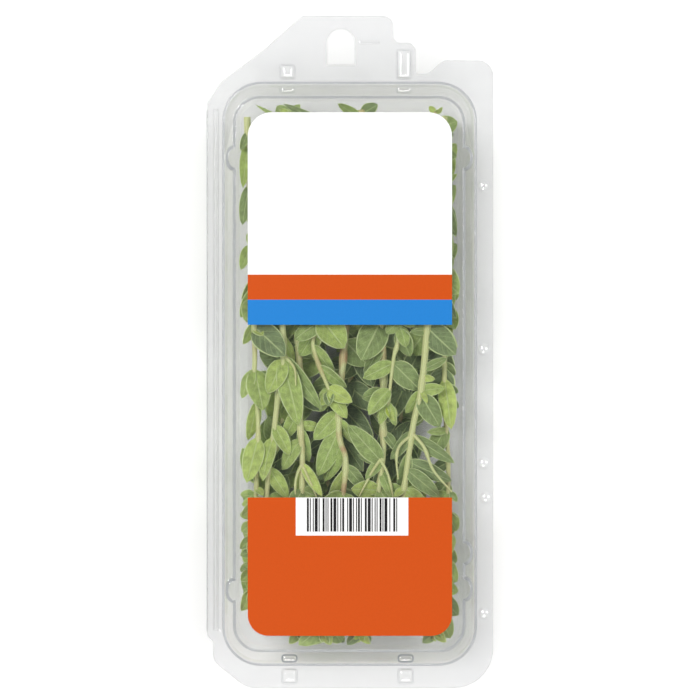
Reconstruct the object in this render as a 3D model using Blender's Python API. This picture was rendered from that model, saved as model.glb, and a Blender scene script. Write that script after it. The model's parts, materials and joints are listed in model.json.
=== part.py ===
"""Cut oregano in a clear hinged clamshell, lying on its tray with the window up.

The pack lies along Y, with its hang tab at +Y and its hinge along -X. The origin is under the middle of its
box. The tray and the lid are formed from one clear sheet that folds at the hinge. Twelve cut sprigs fill the
tray, and a film label lies on the window. Sizes are in millimetres until a mesh is made.
"""

import math
import random

import bmesh
import bpy
from mathutils import Matrix, Vector
from mathutils.bvhtree import BVHTree

MM = 0.001

# The sheet and the gap between pieces that touch on the real pack
SHEET = 0.5
TOUCH = 0.3

# The pack's heights: the lower sheet of each face, from the floor that it rests on
FLANGE_Z = 18.5
LID_FLANGE_Z = FLANGE_Z + SHEET + TOUCH
RIM_RISE = 1.2
WINDOW_RISE = 2.8
LID_TOP_Z = LID_FLANGE_Z + RIM_RISE + WINDOW_RISE + SHEET
LABEL_THICKNESS = 0.3

# Outer edge of both flanges, as corners (x, y, radius), anticlockwise from the foot of the hinge
HALF_WIDTH = 40.0
HALF_LENGTH = 94.0
HINGE_Y = (-79.5, 69.7)
HANG_TAB_RIGHT = 12.1
RIB_LOBE_RIGHT = 18.4
LIFT_LOBE_TOP = 81.6
FLANGE_CORNERS = (
    (-HALF_WIDTH, HINGE_Y[0], 0.8),
    (-38.4, -81.0, 1.0),
    (-38.4, -86.5, 4.0),
    (-29.0, -HALF_LENGTH, 8.0),
    (HALF_WIDTH, -HALF_LENGTH, 11.0),
    (HALF_WIDTH, LIFT_LOBE_TOP, 4.4),
    (26.0, LIFT_LOBE_TOP, 3.0),
    (21.8, 77.8, 3.0),
    (RIB_LOBE_RIGHT, 77.8, 0.8),
    (RIB_LOBE_RIGHT, 86.5, 2.6),
    (HANG_TAB_RIGHT, 86.5, 2.0),
    (HANG_TAB_RIGHT, HALF_LENGTH, 3.0),
    (-13.5, HALF_LENGTH, 2.0),
    (-24.5, 84.2, 8.0),
    (-36.2, 75.5, 8.0),
    (-HALF_WIDTH, HINGE_Y[1], 2.0),
)

# Boxes in plan, as (left, right, foot, top, corner radius)
RIM = (-35.9, 35.5, -87.9, 75.7, 11.0)
WINDOW = (-32.3, 31.7, -83.4, 71.1, 7.0)
TRAY_MOUTH_INSET = 0.6
ARC_STEPS = 4

# Tray profile under its flange, as (inset from the mouth, height)
TRAY_PROFILE = ((0.5, 17.2), (2.2, 2.2), (2.9, 0.6), (4.0, 0.0), (8.0, 0.0), (9.2, 0.8))

# Round snap lugs that stand out of the window's wall, by their height along Y
LUG_RADIUS = 3.0
LUG_REACH = 2.1
LUGS_RIGHT_Y = (-66.2, -56.1, 54.2)
LUGS_LEFT_Y = (-66.6, 54.2)
WINDOW_DRAFT = 0.5

# The hang hole is a D with its round end up
HOLE_X = -2.6
HOLE_RADIUS = 3.7
HOLE_FOOT_Y = 80.6
HOLE_SHOULDER_Y = 86.5
TRAY_HOLE_GROWTH = 0.4

# Half-round ribs across the flange and the ledge, as (x, foot, top)
RIB_HALF_WIDTH = 2.3
RIB_RISE = 1.3
FLANGE_RIBS = (
    (-17.6, 76.3, 80.6),
    (15.05, 76.3, 84.8),
    (-17.0, -93.0, -88.5),
    (15.5, -93.0, -88.5),
)
LEDGE_RIBS = ((-17.6, 72.3, 74.6), (15.05, 72.3, 74.6), (-17.0, -86.9, -84.5), (15.5, -86.9, -84.5))
LEDGE_RIB_RISE = 0.8
HINGE_BEAD = (-38.4, -36.9, -78.0, 68.0)
BEAD_RISE = 0.7
TAB_RIDGE = (2.3, 8.6, 86.1, 87.3)
TAB_RIDGE_RISE = 0.4

# Snap dots on the opening side: the tray's stand inside the lid's
SNAP_DOTS = ((37.4, 46.5), (37.4, 0.8), (37.4, -31.1), (38.0, -40.7), (37.6, -73.1))
LID_DOT_RADIUS = 1.8
LID_DOT_RISE = 0.9
TRAY_DOT_RADIUS = 1.0
TRAY_DOT_RISE = 0.5
DOT_SIDES = 6

# The film label on the window
LABEL = (-28.6, 28.4, -79.2, 66.9)
LABEL_TOP_RADIUS = 6.7
LABEL_FOOT_RADIUS = 5.8

# The space that the sprigs keep to, clear of tray and lid
BED = (-31.0, 30.6, -82.2, 69.9, 6.0)
BED_FLOOR_Z = 1.7
BED_TOP_Z = LID_TOP_Z - SHEET - TOUCH

# Main stems, each as its radius at the cut end and its points from the cut end to the tip. They lie in loose
# layers, and those near the window follow the stems that show through it.
SPRIG_ROUTES = (
    (1.10, (-14, 62, 18.0), (-18.6, 15, 20.2), (-18.8, -2.5, 18.8), (-21, -19, 18.4), (-23.5, -46, 18.4),
     (-19, -67, 17.5)),
    (0.85, (19, 57, 18.5), (14.0, 8, 20.6), (12.1, -2, 20.8), (10.5, -16, 20.6)),
    (1.20, (26, 66, 17.5), (21.6, 8, 19.8), (19.8, -11, 20.2), (17.2, -23, 20.2), (13, -58, 18.6),
     (15, -74, 18.0)),
    (1.25, (3, 68, 14.5), (8.7, 8, 17.4), (9.2, -20, 17.4), (8.6, -34, 19.0), (3, -79, 16.5)),
    (1.00, (1, 66, 19.0), (-8, 12, 20.0), (-10.4, 2, 20.0), (-5.4, -12, 20.0)),
    (0.90, (-29, 66, 14.0), (-26.8, 4, 19.4), (-27.0, -8, 19.6), (-25.8, -24, 19.4), (-28, -68, 16.5)),
    (1.10, (2, 40, 9.2), (-3.2, -18, 18.6), (-1.4, -34, 19.8), (-8, -79, 18.0)),
    (1.10, (-20, 52, 10.5), (-14.5, 0, 15.0), (-14, -20, 19.6), (-13.4, -34, 19.8), (-14.5, -79, 17.5)),
    (0.85, (28, 44, 9.5), (26.5, -6, 15.0), (27.5, -40, 15.5), (24, -79, 16.5)),
    (0.90, (-25, -79, 4.5), (-21, -30, 7.4), (-12, 20, 6.6), (-17, 66, 8.4)),
    (0.90, (13, 67, 6.5), (5, 10, 5.6), (-6, -30, 6.4), (-4, -80, 6.6)),
    (0.90, (16, -80, 5.0), (13, -30, 8.0), (21, 20, 7.4), (24, 68, 9.0)),
)
STEM_TAPER = 0.55
STEM_RINGS = 11
STEM_SIDES = 5
PATH_POINTS = 120

# Leaf pairs, from the cut end to the tip. A leaf is long for its width, sits on a narrow stalk and is folded
# along its midrib. Its coarse outline has its widest row and one nearer the tip.
FIRST_NODE = 7.0
NODE_SPACING = (18.5, 12.5)
NODE_SPREADS = ((44, 82), (16, 52))
TIP_SPREAD = (14, 40)
LEAF_LENGTH = (14.5, 9.5)
TIP_LEAF_LENGTH = 7.5
LIFT = 26.0
ROLL = 34.0
HALF_WIDTH_SHARE = 0.33
STALK_HALF_WIDTH = 0.45
BLADE = 0.6
LEAF_ROWS = (0.4, 0.76)
SMALL_LEAF_ROWS = (0.45,)
CLEARANCE = 0.15

# Leaves that show through the clear part of the label, each as its sprig, the place of its base and of its tip in
# plan, half its width, and how far under the window it starts to look for room: 0 right under it, 2 deep
SHOWN_LEAVES = (
    (0, -18.8, -2.5, -23.0, -11.5, 2.8, 0), (1, 12.0, -3.4, 3.6, -7.3, 2.1, 0),
    (1, 10.3, -14.0, 8.1, -20.2, 1.4, 0), (1, 10.3, -14.0, 12.5, -20.7, 1.5, 0),
    (1, 10.9, -10.4, 5.0, -17.4, 2.4, 0), (2, 19.8, -10.9, 15.6, -17.4, 1.7, 0),
    (2, 19.8, -11.2, 21.5, -14.3, 0.8, 0), (5, -27.0, -4.8, -24.2, -16.2, 3.4, 0),
    (5, -25.8, -24.4, -28.9, -36.4, 2.8, 0), (0, -21.9, -24.1, -24.7, -35.8, 2.2, 0),
    (4, -6.0, -10.1, 0.5, -14.0, 2.2, 0), (4, -5.7, -10.9, -0.9, -18.5, 2.0, 0),
    (3, 9.2, -29.1, 4.4, -35.3, 1.5, 0), (2, 16.7, -28.8, 13.7, -40.9, 1.8, 0),
    (7, -13.5, -30.8, -14.9, -41.2, 1.4, 0), (7, -13.5, -31.4, -7.9, -40.3, 1.5, 0),
    (0, -18.3, -2.5, -14.4, -20.4, 3.2, 0), (0, -18.6, 4.8, -15.2, -4.5, 1.4, 3),
    (0, -18.6, -0.8, -8.2, -16.2, 2.2, 3), (0, -21.4, -20.2, -16.9, -28.8, 2.0, 3),
    (0, -22.5, -32.5, -17.4, -40.9, 2.0, 3), (5, -27.0, -4.8, -30.6, -12.9, 2.1, 3),
    (5, -26.1, -14.0, -28.4, -24.9, 2.2, 3), (5, -25.8, -26.9, -24.7, -40.6, 2.5, 3),
    (5, -27.0, 9.0, -29.8, 2.0, 1.7, 3), (4, -11.6, 7.6, -14.1, -1.4, 2.8, 3),
    (4, -9.6, 2.0, -4.6, -6.2, 2.0, 3), (4, -6.0, -10.4, -8.5, -16.8, 1.8, 3),
    (4, -7.9, -3.6, -1.2, -10.1, 2.0, 3), (4, -7.1, -5.6, 2.7, -11.2, 2.1, 4),
    (6, -3.7, -16.8, -10.2, -24.6, 2.5, 3), (6, -2.9, -22.4, -9.0, -34.7, 2.8, 4),
    (6, -2.6, -18.5, 0.5, -25.8, 1.8, 3), (6, -2.0, -25.8, -7.6, -36.4, 2.5, 4),
    (6, -1.5, -33.0, -5.7, -40.9, 1.7, 3), (6, -1.5, -31.6, 4.4, -38.6, 1.8, 5),
    (1, 12.3, -3.4, 19.5, -10.6, 3.1, 2), (1, 10.3, -14.0, 7.8, -17.9, 1.0, 2),
    (1, 13.7, 6.7, 16.7, -1.4, 2.5, 4), (2, 20.1, -10.6, 26.3, -10.1, 1.7, 2),
    (2, 20.1, -11.5, 25.1, -21.0, 2.9, 2), (2, 20.7, -5.0, 27.1, -1.7, 1.3, 3),
    (2, 20.4, -7.3, 23.7, -7.6, 1.0, 2), (2, 21.2, 5.6, 28.5, 0.6, 2.2, 5),
    (2, 17.3, -23.0, 29.3, -31.1, 1.8, 3), (2, 17.6, -22.4, 11.1, -30.0, 1.8, 3),
    (2, 16.5, -33.0, 25.1, -40.6, 2.2, 3), (2, 16.5, -30.8, 28.5, -36.4, 2.2, 5),
    (3, 8.6, -30.5, -0.6, -20.4, 2.8, 2), (3, 8.6, -30.8, 1.9, -28.8, 1.3, 3),
    (3, 8.9, -33.0, 11.7, -40.9, 1.4, 2), (3, 8.6, 2.0, 3.9, -6.4, 1.8, 4),
    (3, 8.9, -11.2, 3.3, -12.9, 2.0, 5), (3, 9.2, -21.8, 13.4, -28.0, 1.5, 4),
    (7, -13.5, -21.8, -11.6, -31.1, 1.7, 3), (7, -13.8, -20.4, -7.9, -21.3, 1.4, 3),
    (7, -13.8, -24.6, -19.4, -33.0, 2.5, 3), (7, -14.1, -16.2, -18.8, -24.6, 2.0, 4),
    (8, 27.1, -7.8, 28.2, -21.3, 2.4, 1), (8, 27.1, -21.8, 21.8, -22.4, 1.1, 2),
    (8, 27.1, -21.3, 22.3, -29.4, 2.5, 4), (8, 26.8, 6.2, 29.6, 1.4, 1.7, 3),
    (5, -28.9, 61.0, -30.6, 56.6, 1.1, 3), (5, -28.9, 58.8, -30.3, 43.1, 2.0, 2),
    (5, -28.4, 46.5, -30.3, 35.8, 1.8, 3), (5, -28.1, 30.2, -30.6, 23.2, 1.7, 2),
    (5, -27.5, 20.7, -30.3, 14.6, 1.5, 3), (5, -27.5, 17.9, -30.6, 9.5, 1.8, 3),
    (0, -24.7, 68.3, -26.4, 70.0, 0.8, 5), (4, -14.1, 62.2, -18.8, 70.0, 1.3, 6),
    (3, -0.1, 65.5, -3.7, 70.0, 1.5, 5), (3, 1.6, 67.2, 8.3, 69.7, 2.1, 5),
    (2, 24.3, 45.4, 29.9, 49.8, 1.1, 3), (2, 24.3, 43.7, 29.9, 32.5, 2.1, 3),
    (2, 22.9, 19.0, 29.6, 9.5, 2.1, 3),
)
SHOWN_SPRIGS = 9
SHOWN_SPAN = (-38.0, 5.0)
SHOWN_HEIGHTS = (22.2, 21.6, 21.0, 19.8, 19.0, 18.2, 17.4, 16.6, 15.8, 15.0, 14.0, 13.0)
SHOWN_ROLLS = (0, 12, -12, 24, -24, 36, -36)
SHOWN_LENGTHS = (1.0, 0.9, 0.8)
SHOWN_FOLD = 0.16
SHOWN_BEND = 0.06
LEAF_TRIES = 40
SHRINK_PER_TRY = 0.012
SEED = 41


def box_outline(box, inset=0.0, steps=ARC_STEPS):
    """A rectangle with round corners, anticlockwise from its lower right corner."""
    left, right, foot, top, radius = box
    radius = max(radius - inset, 0.2)
    left, right, foot, top = left + inset, right - inset, foot + inset, top - inset
    centres = (
        (right - radius, foot + radius, -90),
        (right - radius, top - radius, 0),
        (left + radius, top - radius, 90),
        (left + radius, foot + radius, 180),
    )
    points = []
    for x, y, start in centres:
        for step in range(steps + 1):
            angle = math.radians(start + 90 * step / steps)
            points.append((x + radius * math.cos(angle), y + radius * math.sin(angle)))
    return points


def rounded_outline(corners, arc_degrees=22.5):
    """An outline from corners (x, y, radius), with an arc at each corner."""
    points = []
    for index, (x, y, radius) in enumerate(corners):
        corner = Vector((x, y))
        before = (Vector(corners[index - 1][:2]) - corner).normalized()
        after = (Vector(corners[(index + 1) % len(corners)][:2]) - corner).normalized()
        half = before.angle(after) / 2
        centre = corner + (before + after).normalized() * radius / math.sin(half)
        start = corner + before * radius / math.tan(half) - centre
        end = corner + after * radius / math.tan(half) - centre
        turn = start.angle_signed(end)
        steps = max(1, math.ceil(abs(math.degrees(turn)) / arc_degrees))
        for step in range(steps + 1):
            arm = start @ Matrix.Rotation(turn * step / steps, 2)
            points.append(tuple(centre + arm))
    return points


def window_outline(grow=0.0, lug_steps=6):
    """The window's edge, with a half-round lug standing out at each of the lugs' places."""
    left, right, foot, top, radius = WINDOW
    corners = box_outline((left - grow, right + grow, foot - grow, top + grow, radius + grow))
    arc = ARC_STEPS + 1

    def lug(side, middle, direction):
        edge = right + grow if side > 0 else left - grow
        return [
            (
                edge + side * LUG_REACH * math.cos(angle),
                middle + direction * (LUG_RADIUS + grow) * math.sin(angle),
            )
            for angle in (math.pi * (step / lug_steps - 0.5) for step in range(lug_steps + 1))
        ]

    rising = [point for y in LUGS_RIGHT_Y for point in lug(1, y, 1)]
    falling = [point for y in reversed(LUGS_LEFT_Y) for point in lug(-1, y, -1)]
    return corners[:arc] + rising + corners[arc : 3 * arc] + falling + corners[3 * arc :]


def hole_outline(grow=0.0, steps=8):
    """The hang hole's edge, with its round end towards +Y."""
    radius = HOLE_RADIUS + grow
    arc = [
        (
            HOLE_X + radius * math.cos(math.pi * step / steps),
            HOLE_SHOULDER_Y + radius * math.sin(math.pi * step / steps),
        )
        for step in range(steps + 1)
    ]
    return arc + [(HOLE_X - radius, HOLE_FOOT_Y - grow), (HOLE_X + radius, HOLE_FOOT_Y - grow)]


def circle_outline(x, y, radius, sides=DOT_SIDES):
    turns = [2 * math.pi * (side + 0.5) / sides for side in range(sides)]
    return [(x + radius * math.cos(turn), y + radius * math.sin(turn)) for turn in turns]


def add_loop(bm, outline, z):
    """A closed ring of edges at one height. Gives its vertices."""
    verts = [bm.verts.new((x * MM, y * MM, z * MM)) for x, y in outline]
    for index, vert in enumerate(verts):
        bm.edges.new((verts[index - 1], vert))
    return verts


def loop_edges(bm, verts):
    return [bm.edges.get((verts[index - 1], vert)) for index, vert in enumerate(verts)]


def fill(bm, *loops):
    """Fills the flat space inside the first ring and outside the others."""
    edges = [edge for verts in loops for edge in loop_edges(bm, verts)]
    bmesh.ops.triangle_fill(bm, use_beauty=True, edges=edges)


def bridge(bm, lower, upper):
    """Joins two rings with the same number of points by a band of quads."""
    for index in range(len(lower)):
        bm.faces.new((lower[index - 1], lower[index], upper[index], upper[index - 1]))


def emboss(bm, rings):
    """A raised or sunk form from rings (outline, z). Gives its outermost ring, for the flat face round it."""
    loops = [add_loop(bm, outline, z) for outline, z in rings]
    for lower, upper in zip(loops, loops[1:]):
        bridge(bm, lower, upper)
    fill(bm, loops[-1])
    return loops[0]


def dome_rings(x, y, z, radius, rise):
    return [
        (circle_outline(x, y, radius), z),
        (circle_outline(x, y, radius * 0.72), z + rise * 0.65),
        (circle_outline(x, y, radius * 0.35), z + rise),
    ]


def rib_rings(x, foot, top, z, rise):
    """A half-round rib along Y, by its plan at its foot, part way up and along its crown."""
    plan = (x - RIB_HALF_WIDTH, x + RIB_HALF_WIDTH, foot, top, 1.0)
    return [
        (box_outline(plan, steps=1), z),
        (box_outline(plan, rise * 0.35, steps=1), z + rise * 0.7),
        (box_outline(plan, rise * 0.8, steps=1), z + rise),
    ]


def bead_rings(box, z, rise):
    """A long bead that stands rise above the flat sheet at z, or hangs below it."""
    slope = 0.3 * min(box[1] - box[0], box[3] - box[2])
    plan = (*box, slope)
    return [(box_outline(plan, steps=1), z), (box_outline(plan, slope, steps=1), z + rise)]


def material(name, colour, roughness, alpha=1.0):
    made = bpy.data.materials.new(name)
    made.use_nodes = True
    shader = made.node_tree.nodes["Principled BSDF"]
    shader.inputs["Base Color"].default_value = (*colour, 1)
    shader.inputs["Roughness"].default_value = roughness
    shader.inputs["Metallic"].default_value = 0.0
    shader.inputs["Alpha"].default_value = alpha
    return made


def add_object(name, mesh, finish):
    obj = bpy.data.objects.new(name, mesh)
    bpy.context.scene.collection.objects.link(obj)
    mesh.materials.append(finish)
    return obj


def formed_sheet(name, bm, outward_up, finish):
    """Turns the drawn face outward and gives the sheet its thickness on the inner side."""
    bmesh.ops.recalc_face_normals(bm, faces=bm.faces)
    facing = sum(face.normal.z * face.calc_area() for face in bm.faces)
    if (facing > 0) != outward_up:
        bmesh.ops.reverse_faces(bm, faces=bm.faces)
    mesh = bpy.data.meshes.new(name)
    bm.to_mesh(mesh)
    bm.free()
    mesh.shade_smooth()
    mesh.set_sharp_from_angle(angle=math.radians(30))
    obj = add_object(name, mesh, finish)
    wall = obj.modifiers.new("sheet", "SOLIDIFY")
    wall.thickness = SHEET * MM
    wall.offset = -1
    wall.use_even_offset = True
    wall.use_quality_normals = True
    return obj


def build_tray(finish):
    """The lower half, drawn by its outer face: flange, drafted wall, and a floor with a raised middle."""
    bm = bmesh.new()
    edge = add_loop(bm, rounded_outline(FLANGE_CORNERS), FLANGE_Z)
    hole = add_loop(bm, hole_outline(TRAY_HOLE_GROWTH), FLANGE_Z)
    mouth = add_loop(bm, box_outline(RIM, TRAY_MOUTH_INSET), FLANGE_Z)
    bead = emboss(bm, bead_rings(HINGE_BEAD, FLANGE_Z, -BEAD_RISE))
    dots = [emboss(bm, dome_rings(x, y, FLANGE_Z, TRAY_DOT_RADIUS, TRAY_DOT_RISE)) for x, y in SNAP_DOTS]
    fill(bm, edge, hole, mouth, bead, *dots)
    ring = mouth
    for inset, z in TRAY_PROFILE:
        lower = add_loop(bm, box_outline(RIM, TRAY_MOUTH_INSET + inset), z)
        bridge(bm, ring, lower)
        ring = lower
    fill(bm, ring)
    return formed_sheet("tray", bm, False, finish)


def build_lid(finish):
    """The upper half, drawn by its outer face: flange, rim, ledge with snap lugs, and the flat window."""
    flange_z = LID_FLANGE_Z + SHEET
    ledge_z = flange_z + RIM_RISE
    bm = bmesh.new()
    edge = add_loop(bm, rounded_outline(FLANGE_CORNERS), flange_z)
    hole = add_loop(bm, hole_outline(), flange_z)
    rim_foot = add_loop(bm, box_outline(RIM), flange_z)
    raised = [emboss(bm, rib_rings(x, foot, top, flange_z, RIB_RISE)) for x, foot, top in FLANGE_RIBS]
    raised += [emboss(bm, dome_rings(x, y, flange_z, LID_DOT_RADIUS, LID_DOT_RISE)) for x, y in SNAP_DOTS]
    raised.append(emboss(bm, bead_rings(HINGE_BEAD, flange_z, BEAD_RISE)))
    raised.append(emboss(bm, bead_rings(TAB_RIDGE, flange_z, TAB_RIDGE_RISE)))
    fill(bm, edge, hole, rim_foot, *raised)
    rim_top = add_loop(bm, box_outline(RIM, 0.5), ledge_z)
    bridge(bm, rim_foot, rim_top)
    ribs = [emboss(bm, rib_rings(x, foot, top, ledge_z, LEDGE_RIB_RISE)) for x, foot, top in LEDGE_RIBS]
    window_foot = add_loop(bm, window_outline(WINDOW_DRAFT), ledge_z)
    fill(bm, rim_top, window_foot, *ribs)
    window_top = add_loop(bm, window_outline(), LID_TOP_Z)
    bridge(bm, window_foot, window_top)
    fill(bm, window_top)
    return formed_sheet("lid", bm, True, finish)


def build_label(finish):
    """The film on the window, as a thin slab."""
    left, right, foot, top = LABEL
    corners = (
        (right, foot, LABEL_FOOT_RADIUS),
        (right, top, LABEL_TOP_RADIUS),
        (left, top, LABEL_TOP_RADIUS),
        (left, foot, LABEL_FOOT_RADIUS),
    )
    bm = bmesh.new()
    fill(bm, add_loop(bm, rounded_outline(corners), LID_TOP_Z + TOUCH))
    lower = list(bm.faces)
    grown = bmesh.ops.extrude_face_region(bm, geom=lower)["geom"]
    rise = Vector((0, 0, LABEL_THICKNESS * MM))
    bmesh.ops.translate(bm, vec=rise, verts=[item for item in grown if isinstance(item, bmesh.types.BMVert)])
    bmesh.ops.recalc_face_normals(bm, faces=bm.faces)
    mesh = bpy.data.meshes.new("label")
    bm.to_mesh(mesh)
    bm.free()
    return add_object("label", mesh, finish)


def smooth_path(points, count):
    """Even samples of a Catmull-Rom curve through the points."""
    knots = [Vector(point) for point in points]
    knots = [2 * knots[0] - knots[1], *knots, 2 * knots[-1] - knots[-2]]
    dense = []
    for a, b, c, d in zip(knots, knots[1:], knots[2:], knots[3:]):
        for step in range(40):
            t = step / 40
            dense.append(
                0.5 * (2 * b + (c - a) * t + (2 * a - 5 * b + 4 * c - d) * t**2 + (3 * b - a - 3 * c + d) * t**3)
            )
    dense.append(knots[-2])
    lengths = [0.0]
    for a, b in zip(dense, dense[1:]):
        lengths.append(lengths[-1] + (b - a).length)
    path = []
    index = 0
    for sample in range(count):
        want = lengths[-1] * sample / (count - 1)
        while index < len(lengths) - 2 and lengths[index + 1] < want:
            index += 1
        share = (want - lengths[index]) / (lengths[index + 1] - lengths[index])
        path.append(dense[index].lerp(dense[index + 1], min(max(share, 0), 1)))
    return path, lengths[-1]


def stem_frame(path, share):
    """Place, direction, sideways and upward unit vectors at a share of the stem's length."""
    at = share * (len(path) - 1)
    index = min(int(at), len(path) - 2)
    place = path[index].lerp(path[index + 1], at - index)
    ahead = path[min(index + 2, len(path) - 1)] - path[max(index - 1, 0)]
    ahead.normalize()
    side = ahead.cross(Vector((0, 0, 1))).normalized()
    return place, ahead, side, side.cross(ahead)


def stem_mesh(path, radius, grow=0.0, rings=STEM_RINGS, sides=STEM_SIDES):
    """A tapered stem with closed ends, as points and triangles or quads."""
    points, faces = [], []
    for ring in range(rings):
        share = ring / (rings - 1)
        place, _, side, up = stem_frame(path, share)
        reach = radius * (1 - STEM_TAPER * share) + grow
        for corner in range(sides):
            turn = 2 * math.pi * corner / sides
            points.append(place + (side * math.cos(turn) + up * math.sin(turn)) * reach)
    for ring in range(rings - 1):
        for corner in range(sides):
            a = ring * sides + corner
            b = ring * sides + (corner + 1) % sides
            faces.append((a, b, b + sides, a + sides))
    faces.append(tuple(reversed(range(sides))))
    faces.append(tuple(range((rings - 1) * sides, rings * sides)))
    return points, faces


def half_width(leaf, u):
    """Half the blade's width at a share of its length: narrow at the stalk, widest before the middle."""
    blade = leaf["half_width"] * math.sin(math.pi * u**0.75) ** 0.75 if 0 < u < 1 else 0.0
    return max(blade, STALK_HALF_WIDTH * (1 - u))


def leaf_point(leaf, u, v, offset=0.0):
    """A point of the blade: u from stalk to tip, v from edge to edge, offset along the blade's normal."""
    width = half_width(leaf, u)
    rise = leaf["fold"] * abs(v) * width - leaf["bend"] * leaf["length"] * u * u + offset
    return leaf["base"] + leaf["along"] * leaf["length"] * u + leaf["across"] * v * width + leaf["normal"] * rise


def leaf_mesh(leaf, grow=0.0, from_row=0):
    """The coarse blade as a closed solid, with both faces split alike. from_row 1 leaves out the stalk."""
    rows = [0.0, *(LEAF_ROWS if leaf["rows"] == 2 else SMALL_LEAF_ROWS)]
    thick = BLADE / 2 + grow
    columns = []
    for number, u in enumerate(rows):
        if number >= from_row:
            columns.append([leaf_point(leaf, u, v) for v in ((-1, 1) if u == 0 else (-1, 0, 1))])
    columns.append([leaf_point(leaf, 1.0, 0)])
    sheet = [point for row in columns for point in row]
    starts = [sum(len(row) for row in columns[:number]) for number in range(len(columns))]
    top = []
    for number in range(len(columns) - 1):
        a, b = starts[number], starts[number + 1]
        shape = (len(columns[number]), len(columns[number + 1]))
        if shape == (2, 3):
            top += [(a, b + 1, b), (a, a + 1, b + 1), (a + 1, b + 2, b + 1)]
        elif shape == (3, 3):
            top += [(a, a + 1, b + 1), (a, b + 1, b), (a + 1, a + 2, b + 1), (a + 2, b + 2, b + 1)]
        else:
            top += [(a, a + 1, b), (a + 1, a + 2, b)]
    left = [starts[number] for number in range(len(columns) - 1)]
    right = [starts[number] + len(columns[number]) - 1 for number in range(len(columns) - 1)]
    first = list(range(starts[0], starts[0] + len(columns[0])))
    around = [*reversed(left), *first[1:-1], *right, starts[-1]]
    count = len(sheet)
    normal = leaf["normal"]
    points = [point + normal * thick for point in sheet] + [point - normal * thick for point in sheet]
    faces = list(top) + [tuple(reversed([corner + count for corner in face])) for face in top]
    for a, b in zip(around, around[1:] + around[:1]):
        faces.append((b, a, a + count, b + count))
    return points, faces


class Pile:
    """What has been laid in the tray so far. A new leaf has to stay clear of it."""

    def __init__(self):
        self.pieces = []

    def lay(self, owner, full, outer):
        """full is what other sprigs keep clear of, and outer is what the same sprig's leaves keep clear of."""
        self.pieces.append((owner, solid_tree(full), solid_tree(outer)))

    def clear_of(self, owner, full, outer):
        full_tree, outer_tree = solid_tree(full), solid_tree(outer)
        for other, other_full, other_outer in self.pieces:
            mine, theirs = (outer_tree, other_outer) if other == owner else (full_tree, other_full)
            if boxes_meet(mine, theirs) and mine[0].overlap(theirs[0]):
                return False
        return True


def solid_tree(shape):
    points, faces = shape
    low = Vector(min(point[axis] for point in points) for axis in range(3))
    high = Vector(max(point[axis] for point in points) for axis in range(3))
    return BVHTree.FromPolygons(points, faces), low, high


def boxes_meet(a, b):
    return all(a[1][axis] <= b[2][axis] and b[1][axis] <= a[2][axis] for axis in range(3))


def in_bed(point):
    """True inside the round-cornered space between tray and window."""
    left, right, foot, top, radius = BED
    if not BED_FLOOR_Z <= point.z <= BED_TOP_Z:
        return False
    across = abs(point.x - (left + right) / 2) - (right - left) / 2 + radius
    along = abs(point.y - (foot + top) / 2) - (top - foot) / 2 + radius
    return math.hypot(max(across, 0), max(along, 0)) <= radius


def make_leaf(rng, frame, sign, length, spread, rows):
    """One leaf from a node: leaning off the stem by spread degrees, then lifted and rolled a little."""
    place, ahead, side, up = frame
    lean = math.radians(rng.uniform(*spread))
    lift = math.radians(rng.uniform(-LIFT, LIFT))
    along = ahead * math.cos(lean) + side * sign * math.sin(lean)
    along = (along * math.cos(lift) + up * math.sin(lift)).normalized()
    normal = (up - along * up.dot(along)).normalized()
    normal.rotate(Matrix.Rotation(math.radians(rng.uniform(-ROLL, ROLL)), 3, along))
    return {
        "base": place,
        "along": along,
        "normal": normal,
        "across": along.cross(normal).normalized(),
        "length": length,
        "half_width": length * HALF_WIDTH_SHARE * rng.uniform(0.88, 1.15),
        "fold": rng.uniform(0.08, 0.3),
        "bend": rng.uniform(-0.06, 0.2),
        "rows": rows,
    }


def place_leaf(rng, pile, owner, frame, sign, length, spread, rows):
    """Draws leaves until one lies in the tray and clear of the pile, a little smaller each time."""
    for attempt in range(LEAF_TRIES):
        size = length * (1 - SHRINK_PER_TRY * attempt)
        leaf = make_leaf(rng, frame, sign, size, spread, rows)
        full = leaf_mesh(leaf, CLEARANCE)
        if all(in_bed(point) for point in full[0]):
            outer = leaf_mesh(leaf, CLEARANCE, 1)
            if pile.clear_of(owner, full, outer):
                pile.lay(owner, full, outer)
                return leaf
    return None


def aimed_leaf(path, base, tip, half_width, roll):
    """A leaf from the stem's nearest point to a tip, rolled by so many degrees from flat."""
    place = min(path, key=lambda point: (point.x - base[0]) ** 2 + (point.y - base[1]) ** 2)
    reach = Vector(tip) - place
    along = reach.normalized()
    up = Vector((0, 0, 1))
    normal = (up - along * up.dot(along)).normalized()
    normal.rotate(Matrix.Rotation(math.radians(roll), 3, along))
    return {
        "base": place,
        "along": along,
        "normal": normal,
        "across": along.cross(normal).normalized(),
        "length": reach.length,
        "half_width": half_width,
        "fold": SHOWN_FOLD,
        "bend": SHOWN_BEND,
        "rows": 2,
    }


def place_shown_leaf(pile, path, row):
    """Looks for room for one of the leaves that show, from its level downwards."""
    owner, base_x, base_y, tip_x, tip_y, half_width, level = row
    for size in SHOWN_LENGTHS:
        for height in SHOWN_HEIGHTS[level:]:
            for roll in SHOWN_ROLLS:
                at = (base_x + (tip_x - base_x) * size, base_y + (tip_y - base_y) * size, height)
                leaf = aimed_leaf(path, (base_x, base_y), at, half_width * size, roll)
                full = leaf_mesh(leaf, CLEARANCE)
                if all(in_bed(point) for point in full[0]):
                    outer = leaf_mesh(leaf, CLEARANCE, 1)
                    if pile.clear_of(owner, full, outer):
                        pile.lay(owner, full, outer)
                        return leaf
    return None


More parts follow.
